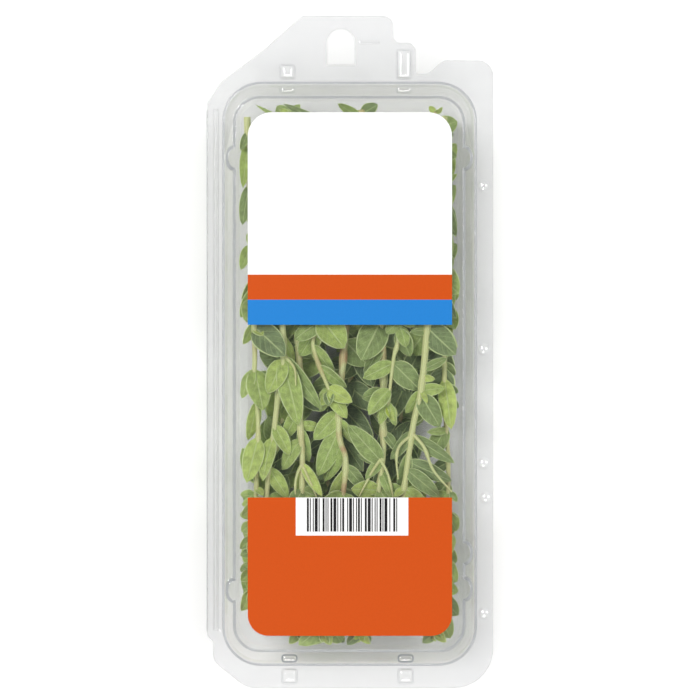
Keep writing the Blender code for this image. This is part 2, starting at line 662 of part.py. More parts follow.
def node_distances(length):
    """Where the leaf pairs sit along a stem, closer together towards the tip."""
    at = FIRST_NODE
    while at < length - 3.0:
        yield at
        at += NODE_SPACING[0] + (NODE_SPACING[1] - NODE_SPACING[0]) * at / length


def plan_sprigs():
    """Every sprig as its stem's path and radius and its leaves, none of them touching another sprig."""
    rng = random.Random(SEED)
    pile = Pile()
    sprigs = []
    for owner, (radius, *route) in enumerate(SPRIG_ROUTES):
        path, length = smooth_path(route, PATH_POINTS)
        stem = stem_mesh(path, radius, CLEARANCE)
        pile.lay(owner, stem, stem)
        sprigs.append({"path": path, "length": length, "radius": radius, "leaves": []})
    for row in SHOWN_LEAVES:
        leaf = place_shown_leaf(pile, sprigs[row[0]]["path"], row)
        if leaf:
            sprigs[row[0]]["leaves"].append(leaf)
    for owner, sprig in enumerate(sprigs):
        for number, distance in enumerate(node_distances(sprig["length"])):
            share = distance / sprig["length"]
            frame = stem_frame(sprig["path"], share)
            if owner < SHOWN_SPRIGS and SHOWN_SPAN[0] < frame[0].y < SHOWN_SPAN[1]:
                continue
            longest = LEAF_LENGTH[0] + (LEAF_LENGTH[1] - LEAF_LENGTH[0]) * share
            spread = NODE_SPREADS[number % 2]
            for sign in (-1, 1):
                length = longest * rng.uniform(0.85, 1.1)
                leaf = place_leaf(rng, pile, owner, frame, sign, length, spread, 2)
                if leaf:
                    sprig["leaves"].append(leaf)
        tip = stem_frame(sprig["path"], 1.0)
        tip = (tip[0] - tip[1] * 0.8, *tip[1:])
        for sign in (-1, 1):
            length = TIP_LEAF_LENGTH * rng.uniform(0.85, 1.15)
            leaf = place_leaf(rng, pile, owner, tip, sign, length, TIP_SPREAD, 1)
            if leaf:
                sprig["leaves"].append(leaf)
    return sprigs


def mesh_object(name, shape, finish):
    points, faces = shape
    mesh = bpy.data.meshes.new(name)
    mesh.from_pydata([tuple(point * MM) for point in points], [], faces)
    return add_object(name, mesh, finish)


def build_sprig(number, sprig, finish):
    """The stem with its leaves, fused where they are sunk into it."""
    name = f"sprig_{number:02d}"
    stem = mesh_object(name, stem_mesh(sprig["path"], sprig["radius"]), finish)
    leaves = bpy.data.collections.new(name + "_leaves")
    bpy.context.scene.collection.children.link(leaves)
    for leaf in sprig["leaves"]:
        blade = mesh_object(name + "_leaf", leaf_mesh(leaf), finish)
        bpy.context.scene.collection.objects.unlink(blade)
        leaves.objects.link(blade)
    join = stem.modifiers.new("leaves", "BOOLEAN")
    join.operation = "UNION"
    join.operand_type = "COLLECTION"
    join.collection = leaves
    join.solver = "EXACT"
    bpy.context.view_layer.objects.active = stem
    bpy.ops.object.modifier_apply(modifier=join.name)
    for blade in list(leaves.objects):
        bpy.data.objects.remove(blade)
    bpy.data.collections.remove(leaves)
    return stem


def main():
    for obj in list(bpy.data.objects):
        bpy.data.objects.remove(obj)
    clear = material("clear_sheet", (0.9, 0.93, 0.93), 0.08, 0.25)
    film = material("label_film", (0.9, 0.9, 0.9), 0.3)
    leaf_green = material("oregano_green", (0.2, 0.3, 0.08), 0.6)
    build_tray(clear)
    build_lid(clear)
    build_label(film)
    for number, sprig in enumerate(plan_sprigs(), 1):
        build_sprig(number, sprig, leaf_green)


main()
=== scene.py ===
"""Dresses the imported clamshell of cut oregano: its formed clear sheet, its printed film label and its sprigs.

The file is laid out as an add-on and is run as a script. Lengths are in millimetres until a mesh is made, in the
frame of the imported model: the window faces +Z, the hang tab points to +Y and the hinge lies along -X.
"""

import itertools
import json
import math
import random

import bmesh
import bpy
from bpy.props import FloatProperty, FloatVectorProperty, IntProperty, PointerProperty
from mathutils import Matrix, Vector
from mathutils.bvhtree import BVHTree
from mathutils.kdtree import KDTree

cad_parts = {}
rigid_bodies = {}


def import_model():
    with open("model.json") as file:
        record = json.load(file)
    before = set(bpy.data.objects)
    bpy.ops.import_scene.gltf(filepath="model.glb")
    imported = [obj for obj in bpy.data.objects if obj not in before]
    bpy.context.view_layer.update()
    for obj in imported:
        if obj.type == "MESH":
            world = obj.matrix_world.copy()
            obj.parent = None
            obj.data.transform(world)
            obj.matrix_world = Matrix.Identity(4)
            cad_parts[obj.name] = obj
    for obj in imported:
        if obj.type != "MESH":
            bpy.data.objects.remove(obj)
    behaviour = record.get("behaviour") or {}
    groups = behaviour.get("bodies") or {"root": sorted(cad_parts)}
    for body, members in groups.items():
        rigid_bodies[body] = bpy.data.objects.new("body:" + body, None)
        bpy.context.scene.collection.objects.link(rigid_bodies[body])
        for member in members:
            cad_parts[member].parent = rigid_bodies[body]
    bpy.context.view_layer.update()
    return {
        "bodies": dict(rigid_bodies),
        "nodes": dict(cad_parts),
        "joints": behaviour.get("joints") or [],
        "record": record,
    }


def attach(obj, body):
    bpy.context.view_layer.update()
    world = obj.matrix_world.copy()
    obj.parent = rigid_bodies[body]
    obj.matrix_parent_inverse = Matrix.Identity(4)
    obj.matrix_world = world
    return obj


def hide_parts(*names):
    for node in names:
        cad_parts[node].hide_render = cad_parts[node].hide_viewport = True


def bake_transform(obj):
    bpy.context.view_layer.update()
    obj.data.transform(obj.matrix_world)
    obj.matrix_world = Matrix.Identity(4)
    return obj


bl_info = {
    "name": "Oregano clamshell pack",
    "version": (1, 0, 0),
    "blender": (4, 5, 0),
    "location": "3D Viewport > Sidebar > Herb pack",
    "description": "Builds a clear clamshell pack of cut oregano sprigs round its packed model",
    "category": "Add Mesh",
}

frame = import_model()

MM = 0.001
# Corners closer together than this are one
MERGE = 0.002
# Edges up to these angles, in degrees, are shaded round
SHEET_SMOOTH = 38
FOLD_SMOOTH = 40
SPRIG_SMOOTH = 50
SMOOTH = {"interpolation_type": "SMOOTHSTEP"}

# The formed sheet, as in the part's source
FLANGE_Z = 18.5
CAD_SHEET = 0.5
TOUCH = 0.3
LID_FLANGE_Z = FLANGE_Z + CAD_SHEET + TOUCH
RIM_RISE = 1.2
WINDOW_RISE = 2.8
LID_TOP_Z = LID_FLANGE_Z + RIM_RISE + WINDOW_RISE + CAD_SHEET

HALF_WIDTH = 40.0
HALF_LENGTH = 94.0
HINGE_Y = (-79.5, 69.7)
HANG_TAB_RIGHT = 12.1
RIB_LOBE_RIGHT = 18.4
LIFT_LOBE_TOP = 81.6
FLANGE_CORNERS = (
    (-HALF_WIDTH, HINGE_Y[0], 0.8),
    (-38.4, -81.0, 1.0),
    (-38.4, -86.5, 4.0),
    (-29.0, -HALF_LENGTH, 8.0),
    (HALF_WIDTH, -HALF_LENGTH, 11.0),
    (HALF_WIDTH, LIFT_LOBE_TOP, 4.4),
    (26.0, LIFT_LOBE_TOP, 3.0),
    (21.8, 77.8, 3.0),
    (RIB_LOBE_RIGHT, 77.8, 0.8),
    (RIB_LOBE_RIGHT, 86.5, 2.6),
    (HANG_TAB_RIGHT, 86.5, 2.0),
    (HANG_TAB_RIGHT, HALF_LENGTH, 3.0),
    (-13.5, HALF_LENGTH, 2.0),
    (-24.5, 84.2, 8.0),
    (-36.2, 75.5, 8.0),
    (-HALF_WIDTH, HINGE_Y[1], 2.0),
)
RIM = (-35.9, 35.5, -87.9, 75.7, 11.0)
WINDOW = (-32.3, 31.7, -83.4, 71.1, 7.0)
TRAY_MOUTH_INSET = 0.6
EDGE_TRIM = 0.19
TRIM_DEGREES = 70
ARC_STEPS = 9

# The tray's wall and floor by their outer face, as (inset from the mouth, height, fillet radius)
TRAY_PROFILE = (
    (-0.5, FLANGE_Z, 0.0),
    (0.0, FLANGE_Z, 0.4),
    (0.5, 17.2, 0.3),
    (2.2, 2.2, 1.2),
    (3.6, 0.0, 1.2),
    (8.0, 0.0, 0.7),
    (9.2, 0.8, 0.7),
    (12.0, 0.8, 0.0),
)
# The lid's rim and window wall by their outer face, as (inset or growth, height above the last level, radius)
RIM_PROFILE = ((-0.06, 0.0, 0.0), (0.0, 0.0, 0.05), (0.45, RIM_RISE, 0.4), (0.8, RIM_RISE, 0.0))
WINDOW_PROFILE = ((0.7, 0.0, 0.0), (0.5, 0.0, 0.3), (0.0, WINDOW_RISE, 0.6), (-0.6, WINDOW_RISE, 0.0))
FILLET_STEPS = 4

LUG_RADIUS = 3.0
LUG_REACH = 2.1
LUGS_RIGHT_Y = (-66.2, -56.1, 54.2)
LUGS_LEFT_Y = (-66.6, 54.2)
LUG_STEPS = 12

HOLE_X = -2.6
HOLE_RADIUS = 3.7
HOLE_FOOT_Y = 80.6
HOLE_SHOULDER_Y = 86.5
TRAY_HOLE_GROWTH = 0.4

RIB_HALF_WIDTH = 2.3
RIB_RISE = 1.3
FLANGE_RIBS = (
    (-17.6, 76.3, 80.6),
    (15.05, 76.3, 84.8),
    (-17.0, -93.0, -88.5),
    (15.5, -93.0, -88.5),
)
LEDGE_RIBS = ((-17.6, 72.3, 74.6), (15.05, 72.3, 74.6), (-17.0, -86.9, -84.5), (15.5, -86.9, -84.5))
LEDGE_RIB_RISE = 0.8
HINGE_BEAD = (-38.4, -36.9, -78.0, 68.0)
BEAD_RISE = 0.7
TAB_RIDGE = (2.3, 8.6, 86.1, 87.3)
TAB_RIDGE_RISE = 0.4

# The fold of sheet that joins tray and lid: its ends, how far it bulges, its wall, and how far it laps the flanges
FOLD_Y = (HINGE_Y[0] + 1.2, HINGE_Y[1] - 2.0)
FOLD_REACH = 0.34
FOLD_THICK = 0.16
FOLD_LAP = 0.1
FOLD_INSET = 0.05
FOLD_STEPS = 8

SNAP_DOTS = ((37.4, 46.5), (37.4, 0.8), (37.4, -31.1), (38.0, -40.7), (37.6, -73.1))
LID_DOT_RADIUS = 1.8
LID_DOT_RISE = 0.9
TRAY_DOT_RADIUS = 1.0
TRAY_DOT_RISE = 0.5
DOT_SIDES = 20

# The film label and the inks on it, in plan, as (left, right, foot, top)
LABEL = (-28.6, 28.4, -79.2, 66.9)
LABEL_TOP_RADIUS = 6.7
LABEL_FOOT_RADIUS = 5.8
FILM_GAP = 0.02
LAYER_GAP = 0.01
SQUARE_RADIUS = 0.01
WHITE_FOOT = 21.6
STRIPE_FOOT = 14.6
BAND_FOOT = 7.6
PANEL_TOP = -40.6
CODE_BOX = (-15.2, 16.2, -51.2, PANEL_TOP)
BARS = (-12.1, 13.1, -50.1, PANEL_TOP - 0.2)
BAR_WIDTHS = (2, 1, 1, 3, 1, 2, 1, 1, 2, 3, 1, 1, 2, 1, 3, 1, 1, 2, 1, 2, 3, 1, 1, 1, 2, 1, 3, 1, 2, 1)
GAP_WIDTHS = (1, 2, 1, 1, 3, 1, 1, 2, 1, 1, 2, 1, 3, 1, 1, 2, 1, 1, 3, 1, 1, 2, 1, 2, 1, 1, 2, 3, 1)

# The space that the sprigs keep to, clear of tray and lid
BED = (-31.0, 30.6, -82.2, 69.9, 6.0)
BED_FLOOR_Z = 1.7
BED_TOP_Z = LID_TOP_Z - CAD_SHEET - TOUCH

# Main stems, each as its radius at the cut end and its points from the cut end to the tip
SPRIG_ROUTES = (
    (1.10, (-14, 62, 18.0), (-18.6, 15, 20.2), (-18.8, -2.5, 18.8), (-21, -19, 18.4), (-23.5, -46, 18.4),
     (-19, -67, 17.5)),
    (0.85, (19, 57, 18.5), (14.0, 8, 20.6), (12.1, -2, 20.8), (10.5, -16, 20.6)),
    (1.20, (26, 66, 17.5), (21.6, 8, 19.8), (19.8, -11, 20.2), (17.2, -23, 20.2), (13, -58, 18.6),
     (15, -74, 18.0)),
    (1.25, (3, 68, 14.5), (8.7, 8, 17.4), (9.2, -20, 17.4), (8.6, -34, 19.0), (3, -79, 16.5)),
    (1.00, (1, 66, 19.0), (-8, 12, 20.0), (-10.4, 2, 20.0), (-5.4, -12, 20.0)),
    (0.90, (-29, 66, 14.0), (-26.8, 4, 19.4), (-27.0, -8, 19.6), (-25.8, -24, 19.4), (-28, -68, 16.5)),
    (1.10, (2, 40, 9.2), (-3.2, -18, 18.6), (-1.4, -34, 19.8), (-8, -79, 18.0)),
    (1.10, (-20, 52, 10.5), (-14.5, 0, 15.0), (-14, -20, 19.6), (-13.4, -34, 19.8), (-14.5, -79, 17.5)),
    (0.85, (28, 44, 9.5), (26.5, -6, 15.0), (27.5, -40, 15.5), (24, -79, 16.5)),
    (0.90, (-25, -79, 4.5), (-21, -30, 7.4), (-12, 20, 6.6), (-17, 66, 8.4)),
    (0.90, (13, 67, 6.5), (5, 10, 5.6), (-6, -30, 6.4), (-4, -80, 6.6)),
    (0.90, (16, -80, 5.0), (13, -30, 8.0), (21, 20, 7.4), (24, 68, 9.0)),
)
STEM_TAPER = 0.55
STEM_RINGS = 11
STEM_SIDES = 5
PATH_POINTS = 120

FIRST_NODE = 7.0
BARE_TIP = 3.0
NODE_SPACING = (18.5, 12.5)
NODE_SPREADS = ((44, 82), (16, 52))
TIP_SPREAD = (14, 40)
LEAF_LENGTH = (14.5, 9.5)
TIP_LEAF_LENGTH = 7.5
TIP_SETBACK = 0.8
LIFT = 26.0
ROLL = 34.0
HALF_WIDTH_SHARE = 0.33
WIDTH_SPREAD = (0.88, 1.15)
FOLDS = (0.08, 0.3)
BENDS = (-0.06, 0.2)
STALK_HALF_WIDTH = 0.45
BLADE = 0.6
LEAF_ROWS = (0.4, 0.76)
SMALL_LEAF_ROWS = (0.45,)
CLEARANCE = 0.15

# Leaves that show through the clear part of the label, each as its sprig, the place of its base and of its tip in
# plan, half its width, how far under the window it starts to look for room, and its age from 0, old, to 1, young
SHOWN_LEAVES = (
    (0, -18.8, -2.5, -23.0, -11.5, 2.8, 0, 0.72), (1, 12.0, -3.4, 3.6, -7.3, 2.1, 0, 0.55),
    (1, 10.3, -14.0, 8.1, -20.2, 1.4, 0, 0.58), (1, 10.3, -14.0, 12.5, -20.7, 1.5, 0, 0.59),
    (1, 10.9, -10.4, 5.0, -17.4, 2.4, 0, 0.6), (2, 19.8, -10.9, 15.6, -17.4, 1.7, 0, 0.62),
    (2, 19.8, -11.2, 21.5, -14.3, 0.8, 0, 0.97), (5, -27.0, -4.8, -24.2, -16.2, 3.4, 0, 0.6),
    (5, -25.8, -24.4, -28.9, -36.4, 2.8, 0, 0.8), (0, -21.9, -24.1, -24.7, -35.8, 2.2, 0, 0.78),
    (4, -6.0, -10.1, 0.5, -14.0, 2.2, 0, 0.95), (4, -5.7, -10.9, -0.9, -18.5, 2.0, 0, 0.8),
    (3, 9.2, -29.1, 4.4, -35.3, 1.5, 0, 0.37), (2, 16.7, -28.8, 13.7, -40.9, 1.8, 0, 0.3),
    (7, -13.5, -30.8, -14.9, -41.2, 1.4, 0, 0.97), (7, -13.5, -31.4, -7.9, -40.3, 1.5, 0, 0.95),
    (0, -18.3, -2.5, -14.4, -20.4, 3.2, 0, 0.6), (0, -18.6, 4.8, -15.2, -4.5, 1.4, 3, 0.8),
    (0, -18.6, -0.8, -8.2, -16.2, 2.2, 3, 0.35), (0, -21.4, -20.2, -16.9, -28.8, 2.0, 3, 0.7),
    (0, -22.5, -32.5, -17.4, -40.9, 2.0, 3, 0.7), (5, -27.0, -4.8, -30.6, -12.9, 2.1, 3, 0.55),
    (5, -26.1, -14.0, -28.4, -24.9, 2.2, 3, 0.82), (5, -25.8, -26.9, -24.7, -40.6, 2.5, 3, 0.72),
    (5, -27.0, 9.0, -29.8, 2.0, 1.7, 3, 0.6), (4, -11.6, 7.6, -14.1, -1.4, 2.8, 3, 0.5),
    (4, -9.6, 2.0, -4.6, -6.2, 2.0, 3, 0.5), (4, -6.0, -10.4, -8.5, -16.8, 1.8, 3, 0.6),
    (4, -7.9, -3.6, -1.2, -10.1, 2.0, 3, 0.5), (4, -7.1, -5.6, 2.7, -11.2, 2.1, 4, 0.6),
    (6, -3.7, -16.8, -10.2, -24.6, 2.5, 3, 0.6), (6, -2.9, -22.4, -9.0, -34.7, 2.8, 4, 0.5),
    (6, -2.6, -18.5, 0.5, -25.8, 1.8, 3, 0.6), (6, -2.0, -25.8, -7.6, -36.4, 2.5, 4, 0.55),
    (6, -1.5, -33.0, -5.7, -40.9, 1.7, 3, 0.88), (6, -1.5, -31.6, 4.4, -38.6, 1.8, 5, 0.25),
    (1, 12.3, -3.4, 19.5, -10.6, 3.1, 2, 0.22), (1, 10.3, -14.0, 7.8, -17.9, 1.0, 2, 0.9),
    (1, 13.7, 6.7, 16.7, -1.4, 2.5, 4, 0.28), (2, 20.1, -10.6, 26.3, -10.1, 1.7, 2, 0.62),
    (2, 20.1, -11.5, 25.1, -21.0, 2.9, 2, 0.2), (2, 20.7, -5.0, 27.1, -1.7, 1.3, 3, 0.3),
    (2, 20.4, -7.3, 23.7, -7.6, 1.0, 2, 0.95), (2, 21.2, 5.6, 28.5, 0.6, 2.2, 5, 0.15),
    (2, 17.3, -23.0, 29.3, -31.1, 1.8, 3, 0.18), (2, 17.6, -22.4, 11.1, -30.0, 1.8, 3, 0.21),
    (2, 16.5, -33.0, 25.1, -40.6, 2.2, 3, 0.18), (2, 16.5, -30.8, 28.5, -36.4, 2.2, 5, 0.12),
    (3, 8.6, -30.5, -0.6, -20.4, 2.8, 2, 0.36), (3, 8.6, -30.8, 1.9, -28.8, 1.3, 3, 0.24),
    (3, 8.9, -33.0, 11.7, -40.9, 1.4, 2, 0.39), (3, 8.6, 2.0, 3.9, -6.4, 1.8, 4, 0.3),
    (3, 8.9, -11.2, 3.3, -12.9, 2.0, 5, 0.3), (3, 9.2, -21.8, 13.4, -28.0, 1.5, 4, 0.24),
    (7, -13.5, -21.8, -11.6, -31.1, 1.7, 3, 0.45), (7, -13.8, -20.4, -7.9, -21.3, 1.4, 3, 0.7),
    (7, -13.8, -24.6, -19.4, -33.0, 2.5, 3, 0.6), (7, -14.1, -16.2, -18.8, -24.6, 2.0, 4, 0.6),
    (8, 27.1, -7.8, 28.2, -21.3, 2.4, 1, 0.95), (8, 27.1, -21.8, 21.8, -22.4, 1.1, 2, 0.53),
    (8, 27.1, -21.3, 22.3, -29.4, 2.5, 4, 0.33), (8, 26.8, 6.2, 29.6, 1.4, 1.7, 3, 0.6),
    (5, -28.9, 61.0, -30.6, 56.6, 1.1, 3, 0.3), (5, -28.9, 58.8, -30.3, 43.1, 2.0, 2, 0.72),
    (5, -28.4, 46.5, -30.3, 35.8, 1.8, 3, 0.2), (5, -28.1, 30.2, -30.6, 23.2, 1.7, 2, 0.55),
    (5, -27.5, 20.7, -30.3, 14.6, 1.5, 3, 0.5), (5, -27.5, 17.9, -30.6, 9.5, 1.8, 3, 0.62),
    (0, -24.7, 68.3, -26.4, 70.0, 0.8, 5, 0.5), (4, -14.1, 62.2, -18.8, 70.0, 1.3, 6, 0.15),
    (3, -0.1, 65.5, -3.7, 70.0, 1.5, 5, 0.4), (3, 1.6, 67.2, 8.3, 69.7, 2.1, 5, 0.12),
    (2, 24.3, 45.4, 29.9, 49.8, 1.1, 3, 0.55), (2, 24.3, 43.7, 29.9, 32.5, 2.1, 3, 0.15),
    (2, 22.9, 19.0, 29.6, 9.5, 2.1, 3, 0.15),
)
SHOWN_SPRIGS = 9
SHOWN_SPAN = (-38.0, 5.0)
SHOWN_HEIGHTS = (22.2, 21.6, 21.0, 19.8, 19.0, 18.2, 17.4, 16.6, 15.8, 15.0, 14.0, 13.0)
SHOWN_ROLLS = (0, 12, -12, 24, -24, 36, -36)
SHOWN_LENGTHS = (1.0, 0.9, 0.8)
SHOWN_FOLD = 0.16
SHOWN_BEND = 0.06
LEAF_TRIES = 40
SHRINK_PER_TRY = 0.012
SEED = 41

# Finer growth that only shows here: more leaves along the stems, and young leaves in the axils and at the tips
EXTRA_SEED = 87
EXTRA_ROUNDS = 4
# Leaves of the lowest sprigs that fill the dark gaps behind those above, as in SHOWN_LEAVES. Their ages lie near 0,
# the darkest green, as painted shade in the gaps
GAP_LEAVES = (
    (10, 2.7, 0.6, 6.1, -9.2, 2.8, 6, 0.05), (10, 0.5, -9.2, 7.8, -16.2, 3.1, 6, 0.08),
    (10, -1.5, -16.2, 6.1, -24.6, 3.1, 6, 0.05), (10, -4.3, -21.8, 3.3, -33.0, 3.1, 6, 0.1),
    (10, -0.1, -7.8, -5.7, -19.0, 2.8, 6, 0.05), (10, -4.3, -24.6, -8.5, -35.8, 2.8, 6, 0.08),
    (11, 16.7, -7.8, 11.1, -19.0, 2.8, 6, 0.08), (11, 15.3, -19.0, 8.3, -27.4, 2.8, 6, 0.05),
    (11, 13.9, -28.8, 6.9, -38.6, 2.8, 6, 0.1), (11, 13.4, -24.6, 19.5, -35.8, 2.8, 6, 0.06),
    (9, -19.7, -19.0, -14.1, -30.2, 2.8, 6, 0.08), (9, -21.9, -27.4, -28.1, -35.8, 2.5, 6, 0.1),
    (9, -16.9, -7.8, -8.5, -16.2, 2.8, 6, 0.05), (9, -14.1, 0.6, -19.7, -7.8, 2.8, 6, 0.1),
    (9, -14.1, 6.2, -7.1, -2.2, 2.8, 6, 0.05),
)
DEEP_ROUNDS = 4
DEEP_TOP = 16.0
ROUND_STEP = 2.9
EXTRA_LENGTH = (12.5, 7.5)
EXTRA_SPREAD = (12, 88)
AXIL_LENGTH = (3.2, 6.0)
AXIL_SPREAD = (8, 50)
PAIR_LENGTHS = (4.6, 3.5, 2.4)
PAIR_SETBACKS = (0.9, 0.6, 0.3)
PAIR_SPREAD = (20, 55)
PAIR_TURN = 0.3
# Ages that the leaves are drawn from, from 0, old, to 1, young
LEAF_TONES = (0.05, 0.7)
EXTRA_TONES = (0.2, 0.8)
# The leaves deep under the shown ones take only dark, old tones: painted shade in the gaps between the leaves above
DEEP_SHADE_TONES = (0.0, 0.4)
AXIL_TONES = (0.75, 1.0)
PAIR_TONES = (0.85, 1.0)
# How far the undersides lean to a pale grey green
PALENESS = 0.25
FINE_BLADE = 0.26
WAVE_DEPTHS = (0.15, 0.45)
CUPS = (-0.42, 0.3)
ARCHES = (-0.3, 0.6)
FINE_WIDTH = 1.06
BLADE_ROWS = 9
BLADE_COLUMNS = 4
TUBE_RINGS = 70
TUBE_SIDES = 10
NODE_SWELL = 0.38
# Thin side shoots that arch over the leaves: sprig, radius, route
SHOOTS = (
    (2, 0.5, (17.2, -22.6, 20.6), (20.6, -26.6, 21.7), (23.2, -33.0, 21.8), (28.4, -39.2, 21.4)),
    (2, 0.45, (16.9, -23.4, 20.4), (13.8, -26.2, 21.5), (12.9, -30.0, 21.6), (13.4, -35.6, 21.0)),
    (3, 0.42, (8.5, -30.0, 19.6), (5.8, -34.0, 21.0), (2.6, -40.2, 20.8)),
    (3, 0.42, (8.5, -30.2, 19.6), (10.6, -34.4, 21.0), (12.0, -40.6, 20.6)),
    (7, 0.42, (-13.5, -31.4, 20.0), (-11.6, -35.4, 21.2), (-9.4, -40.6, 21.0)),
    (7, 0.42, (-13.5, -31.2, 20.0), (-15.2, -35.6, 21.0), (-15.4, -40.8, 20.8)),
    (0, 0.42, (-18.2, -1.2, 19.6), (-15.6, -4.6, 21.6), (-15.2, -9.4, 21.4)),
)
# How red each sprig's main stem is, and the shoots
STEM_FLUSH = (0.1, 0.35, 0.05, 0.5, 0.45, 0.2, 1.0, 0.3, 0.3, 0.7, 0.7, 0.7)
SHOOT_FLUSH = 0.2
NODE_SWELL_LENGTH = 1.3
SQUARENESS = 0.07

# Sizes of the surfaces' patterns: slack ripples in the film, the ink's mottle, the leaf's blotches, its felt, drawn
# coarser than real hairs so that it shows, patches of flush on the stems, and the floor's cloudiness
FILM_RIPPLE = 14.0
INK_MOTTLE = 0.6
LEAF_BLOTCH = 1.6
LEAF_FELT = 0.25
FLUSH_PATCH = 7.0
FLOOR_CLOUD = 40.0
SIDE_VEINS = 6.0
VEIN_SLANT = 0.75
STEM_RIDGES = 8.0
# Where a clear sheet takes on its body colour, the tray's haze or the lid's painted shade: from which slant on, and
# how upright its wall has to be
EDGE_ON_SLANT = (0.4, 0.84)
WALL_TO_FLAT = (0.5, 0.8)

# The photograph's frame, as the width that it spans at the flange and the place of its middle
FRAME_WIDTH = 196.0
FRAME_MIDDLE = (-0.07, 0.56)
SENSOR_WIDTH = 36.0
CLIP_START = 0.05
CLEAR_WALLS = 32
# The dim strip overhead: how its distance stretches, and how far from overhead it ends, from dim to white
STRIP_STRETCH = (1.0, 3.5, 0.0)
STRIP_EDGE = (0.17, 0.25)
FLOOR_GAP = 0.05
# The floor's width and the lamps, in metres: each lamp's name, the setting of its power, its size and its place
FLOOR_SIZE = 8.0
LAMPS = (
    ("key_lamp", "key", 0.45, (-0.5, 0.35, 1.2)),
    ("fill_lamp", "fill", 0.5, (0.7, 0.15, 1.15)),
    ("foot_lamp", "fill", 0.5, (-0.1, -0.75, 1.1)),
)


def linear(hexed):
    """An sRGB hex colour as linear red, green and blue."""
    channels = [int(hexed[place : place + 2], 16) / 255 for place in (1, 3, 5)]
    return tuple(c / 12.92 if c <= 0.04045 else ((c + 0.055) / 1.055) ** 2.4 for c in channels)


def colour_of(name, description, hexed):
    """A colour that the user can change, from its sRGB hex value."""
    return FloatVectorProperty(name=name, description=description, subtype="COLOR", default=linear(hexed))


class SheetSettings(bpy.types.PropertyGroup):
    """The formed clear sheet."""

    thickness: FloatProperty(
        name="Sheet thickness", description="Thickness of the formed sheet", default=0.4 * MM, unit="LENGTH"
    )
    tint: colour_of("Sheet tint", "Colour of the light that the sheet lets through", "#FEFEFE")
    # The edge grey is painted shade, standing in for the dark lines that bent light draws in the lid's walls seen
    # edge-on
    edge: colour_of("Edge grey", "Colour of the lid's sheet where it is seen edge-on", "#82888D")
    # The cut edge grey is painted shade, standing in for the dark line that bent light draws along the sheet's cut
    # edge
    cut: colour_of("Cut edge grey", "Colour of the scuffed die-cut edges", "#6A7076")
    haze: colour_of("Haze", "Colour of the haze in the tray's sheet", "#F2F3F5")
    ior: FloatProperty(name="Index of refraction", description="That of amorphous PET", default=1.57)
    roughness: FloatProperty(name="Roughness", description="Gloss of the formed face", default=0.04)


class LabelSettings(bpy.types.PropertyGroup):
    """The printed film."""

    film_thickness: FloatProperty(
        name="Film thickness", description="Thickness of the clear film", default=0.07 * MM, unit="LENGTH"
    )
    ink_thickness: FloatProperty(
        name="Ink thickness", description="Height of each printed layer", default=0.03 * MM, unit="LENGTH"
    )
    white: colour_of("White ink", "Top panel and code box", "#F7F7F6")
    orange: colour_of("Orange ink", "Stripe and foot panel", "#CB4D03")
    blue: colour_of("Blue ink", "Band above the clear part", "#1D7ECC")
    black: colour_of("Black ink", "Code bars", "#1C1B1D")


class HerbSettings(bpy.types.PropertyGroup):
    """The oregano."""

    old_leaf: colour_of("Old leaf", "Full-grown leaves", "#3F5D22")
    leaf: colour_of("Leaf", "Most leaves", "#93AE40")
    young_leaf: colour_of("Young leaf", "Tips and side shoots", "#BBD052")
    # The vein colour also draws the rim, which is partly a painted highlight
    vein: colour_of("Vein", "Midrib, side veins and rim", "#C6D698")
    stem: colour_of("Stem", "Green stems", "#CFD698")
    flush: colour_of("Stem flush", "Red-brown side of older stems", "#B58A68")
    extra_rounds: IntProperty(
        name="Extra leaf rounds", description="How many times more leaves are laid along the stems",
        default=EXTRA_ROUNDS, min=0, max=9,
    )


class StageSettings(bpy.types.PropertyGroup):
    """Floor, lamps and camera."""

    floor: colour_of("Floor", "Colour of the floor", "#F4F4F4")
    sky: FloatProperty(name="Room light", description="Strength of the even light from all round", default=0.38)
    overhead: FloatProperty(
        name="Overhead share", description="How much of that light comes from straight above", default=0.06
    )
    key: FloatProperty(name="Key lamp", description="Power of the large soft lamp", default=9.5, unit="POWER")
    fill: FloatProperty(name="Fill lamps", description="Power of each of two weaker lamps", default=4.3, unit="POWER")
    distance: FloatProperty(
        name="Camera distance", description="From the camera to the pack's flange", default=1.3, unit="LENGTH"
    )


def add_node(tree, kind, settings=None, **inputs):
    """Adds a node with its settings, and its inputs as numbers, colours, sockets, or nodes for their first output.
    in_0 stands for input 0."""
    node = tree.nodes.new("ShaderNode" + kind)
    for name, value in (settings or {}).items():
        setattr(node, name, value)
    for name, value in inputs.items():
        key = int(name[3:]) if name.startswith("in_") else name.replace("_", " ")
        socket = node.inputs[key]
        if isinstance(value, bpy.types.Node):
            value = value.outputs[0]
        if isinstance(value, bpy.types.NodeSocket):
            tree.links.new(value, socket)
        else:
            socket.default_value = value
    return node


def calc(tree, operation, *values):
    """A Math node over the values."""
    return add_node(tree, "Math", {"operation": operation}, **{f"in_{at}": value for at, value in enumerate(values)})


def remap(tree, value, span, ends=(0.0, 1.0), settings=None):
    """Carries a value from its span over to the ends and holds it there. SMOOTH eases it in and out."""
    return add_node(
        tree, "MapRange", settings, Value=value, From_Min=span[0], From_Max=span[1], To_Min=ends[0], To_Max=ends[1]
    )


def noise(tree, place, size, detail):
    """Noise with lumps of about the size, in millimetres."""
    return add_node(tree, "TexNoise", Vector=place, Scale=1 / (size * MM), Detail=detail)


def scaled(tree, colour, level):
    return add_node(tree, "VectorMath", {"operation": "SCALE"}, in_0=colour, Scale=level)


def blended(tree, share, first, second):
    """The colour between two, as a socket."""
    return add_node(tree, "Mix", {"data_type": "RGBA"}, in_0=share, in_6=first, in_7=second).outputs[2]


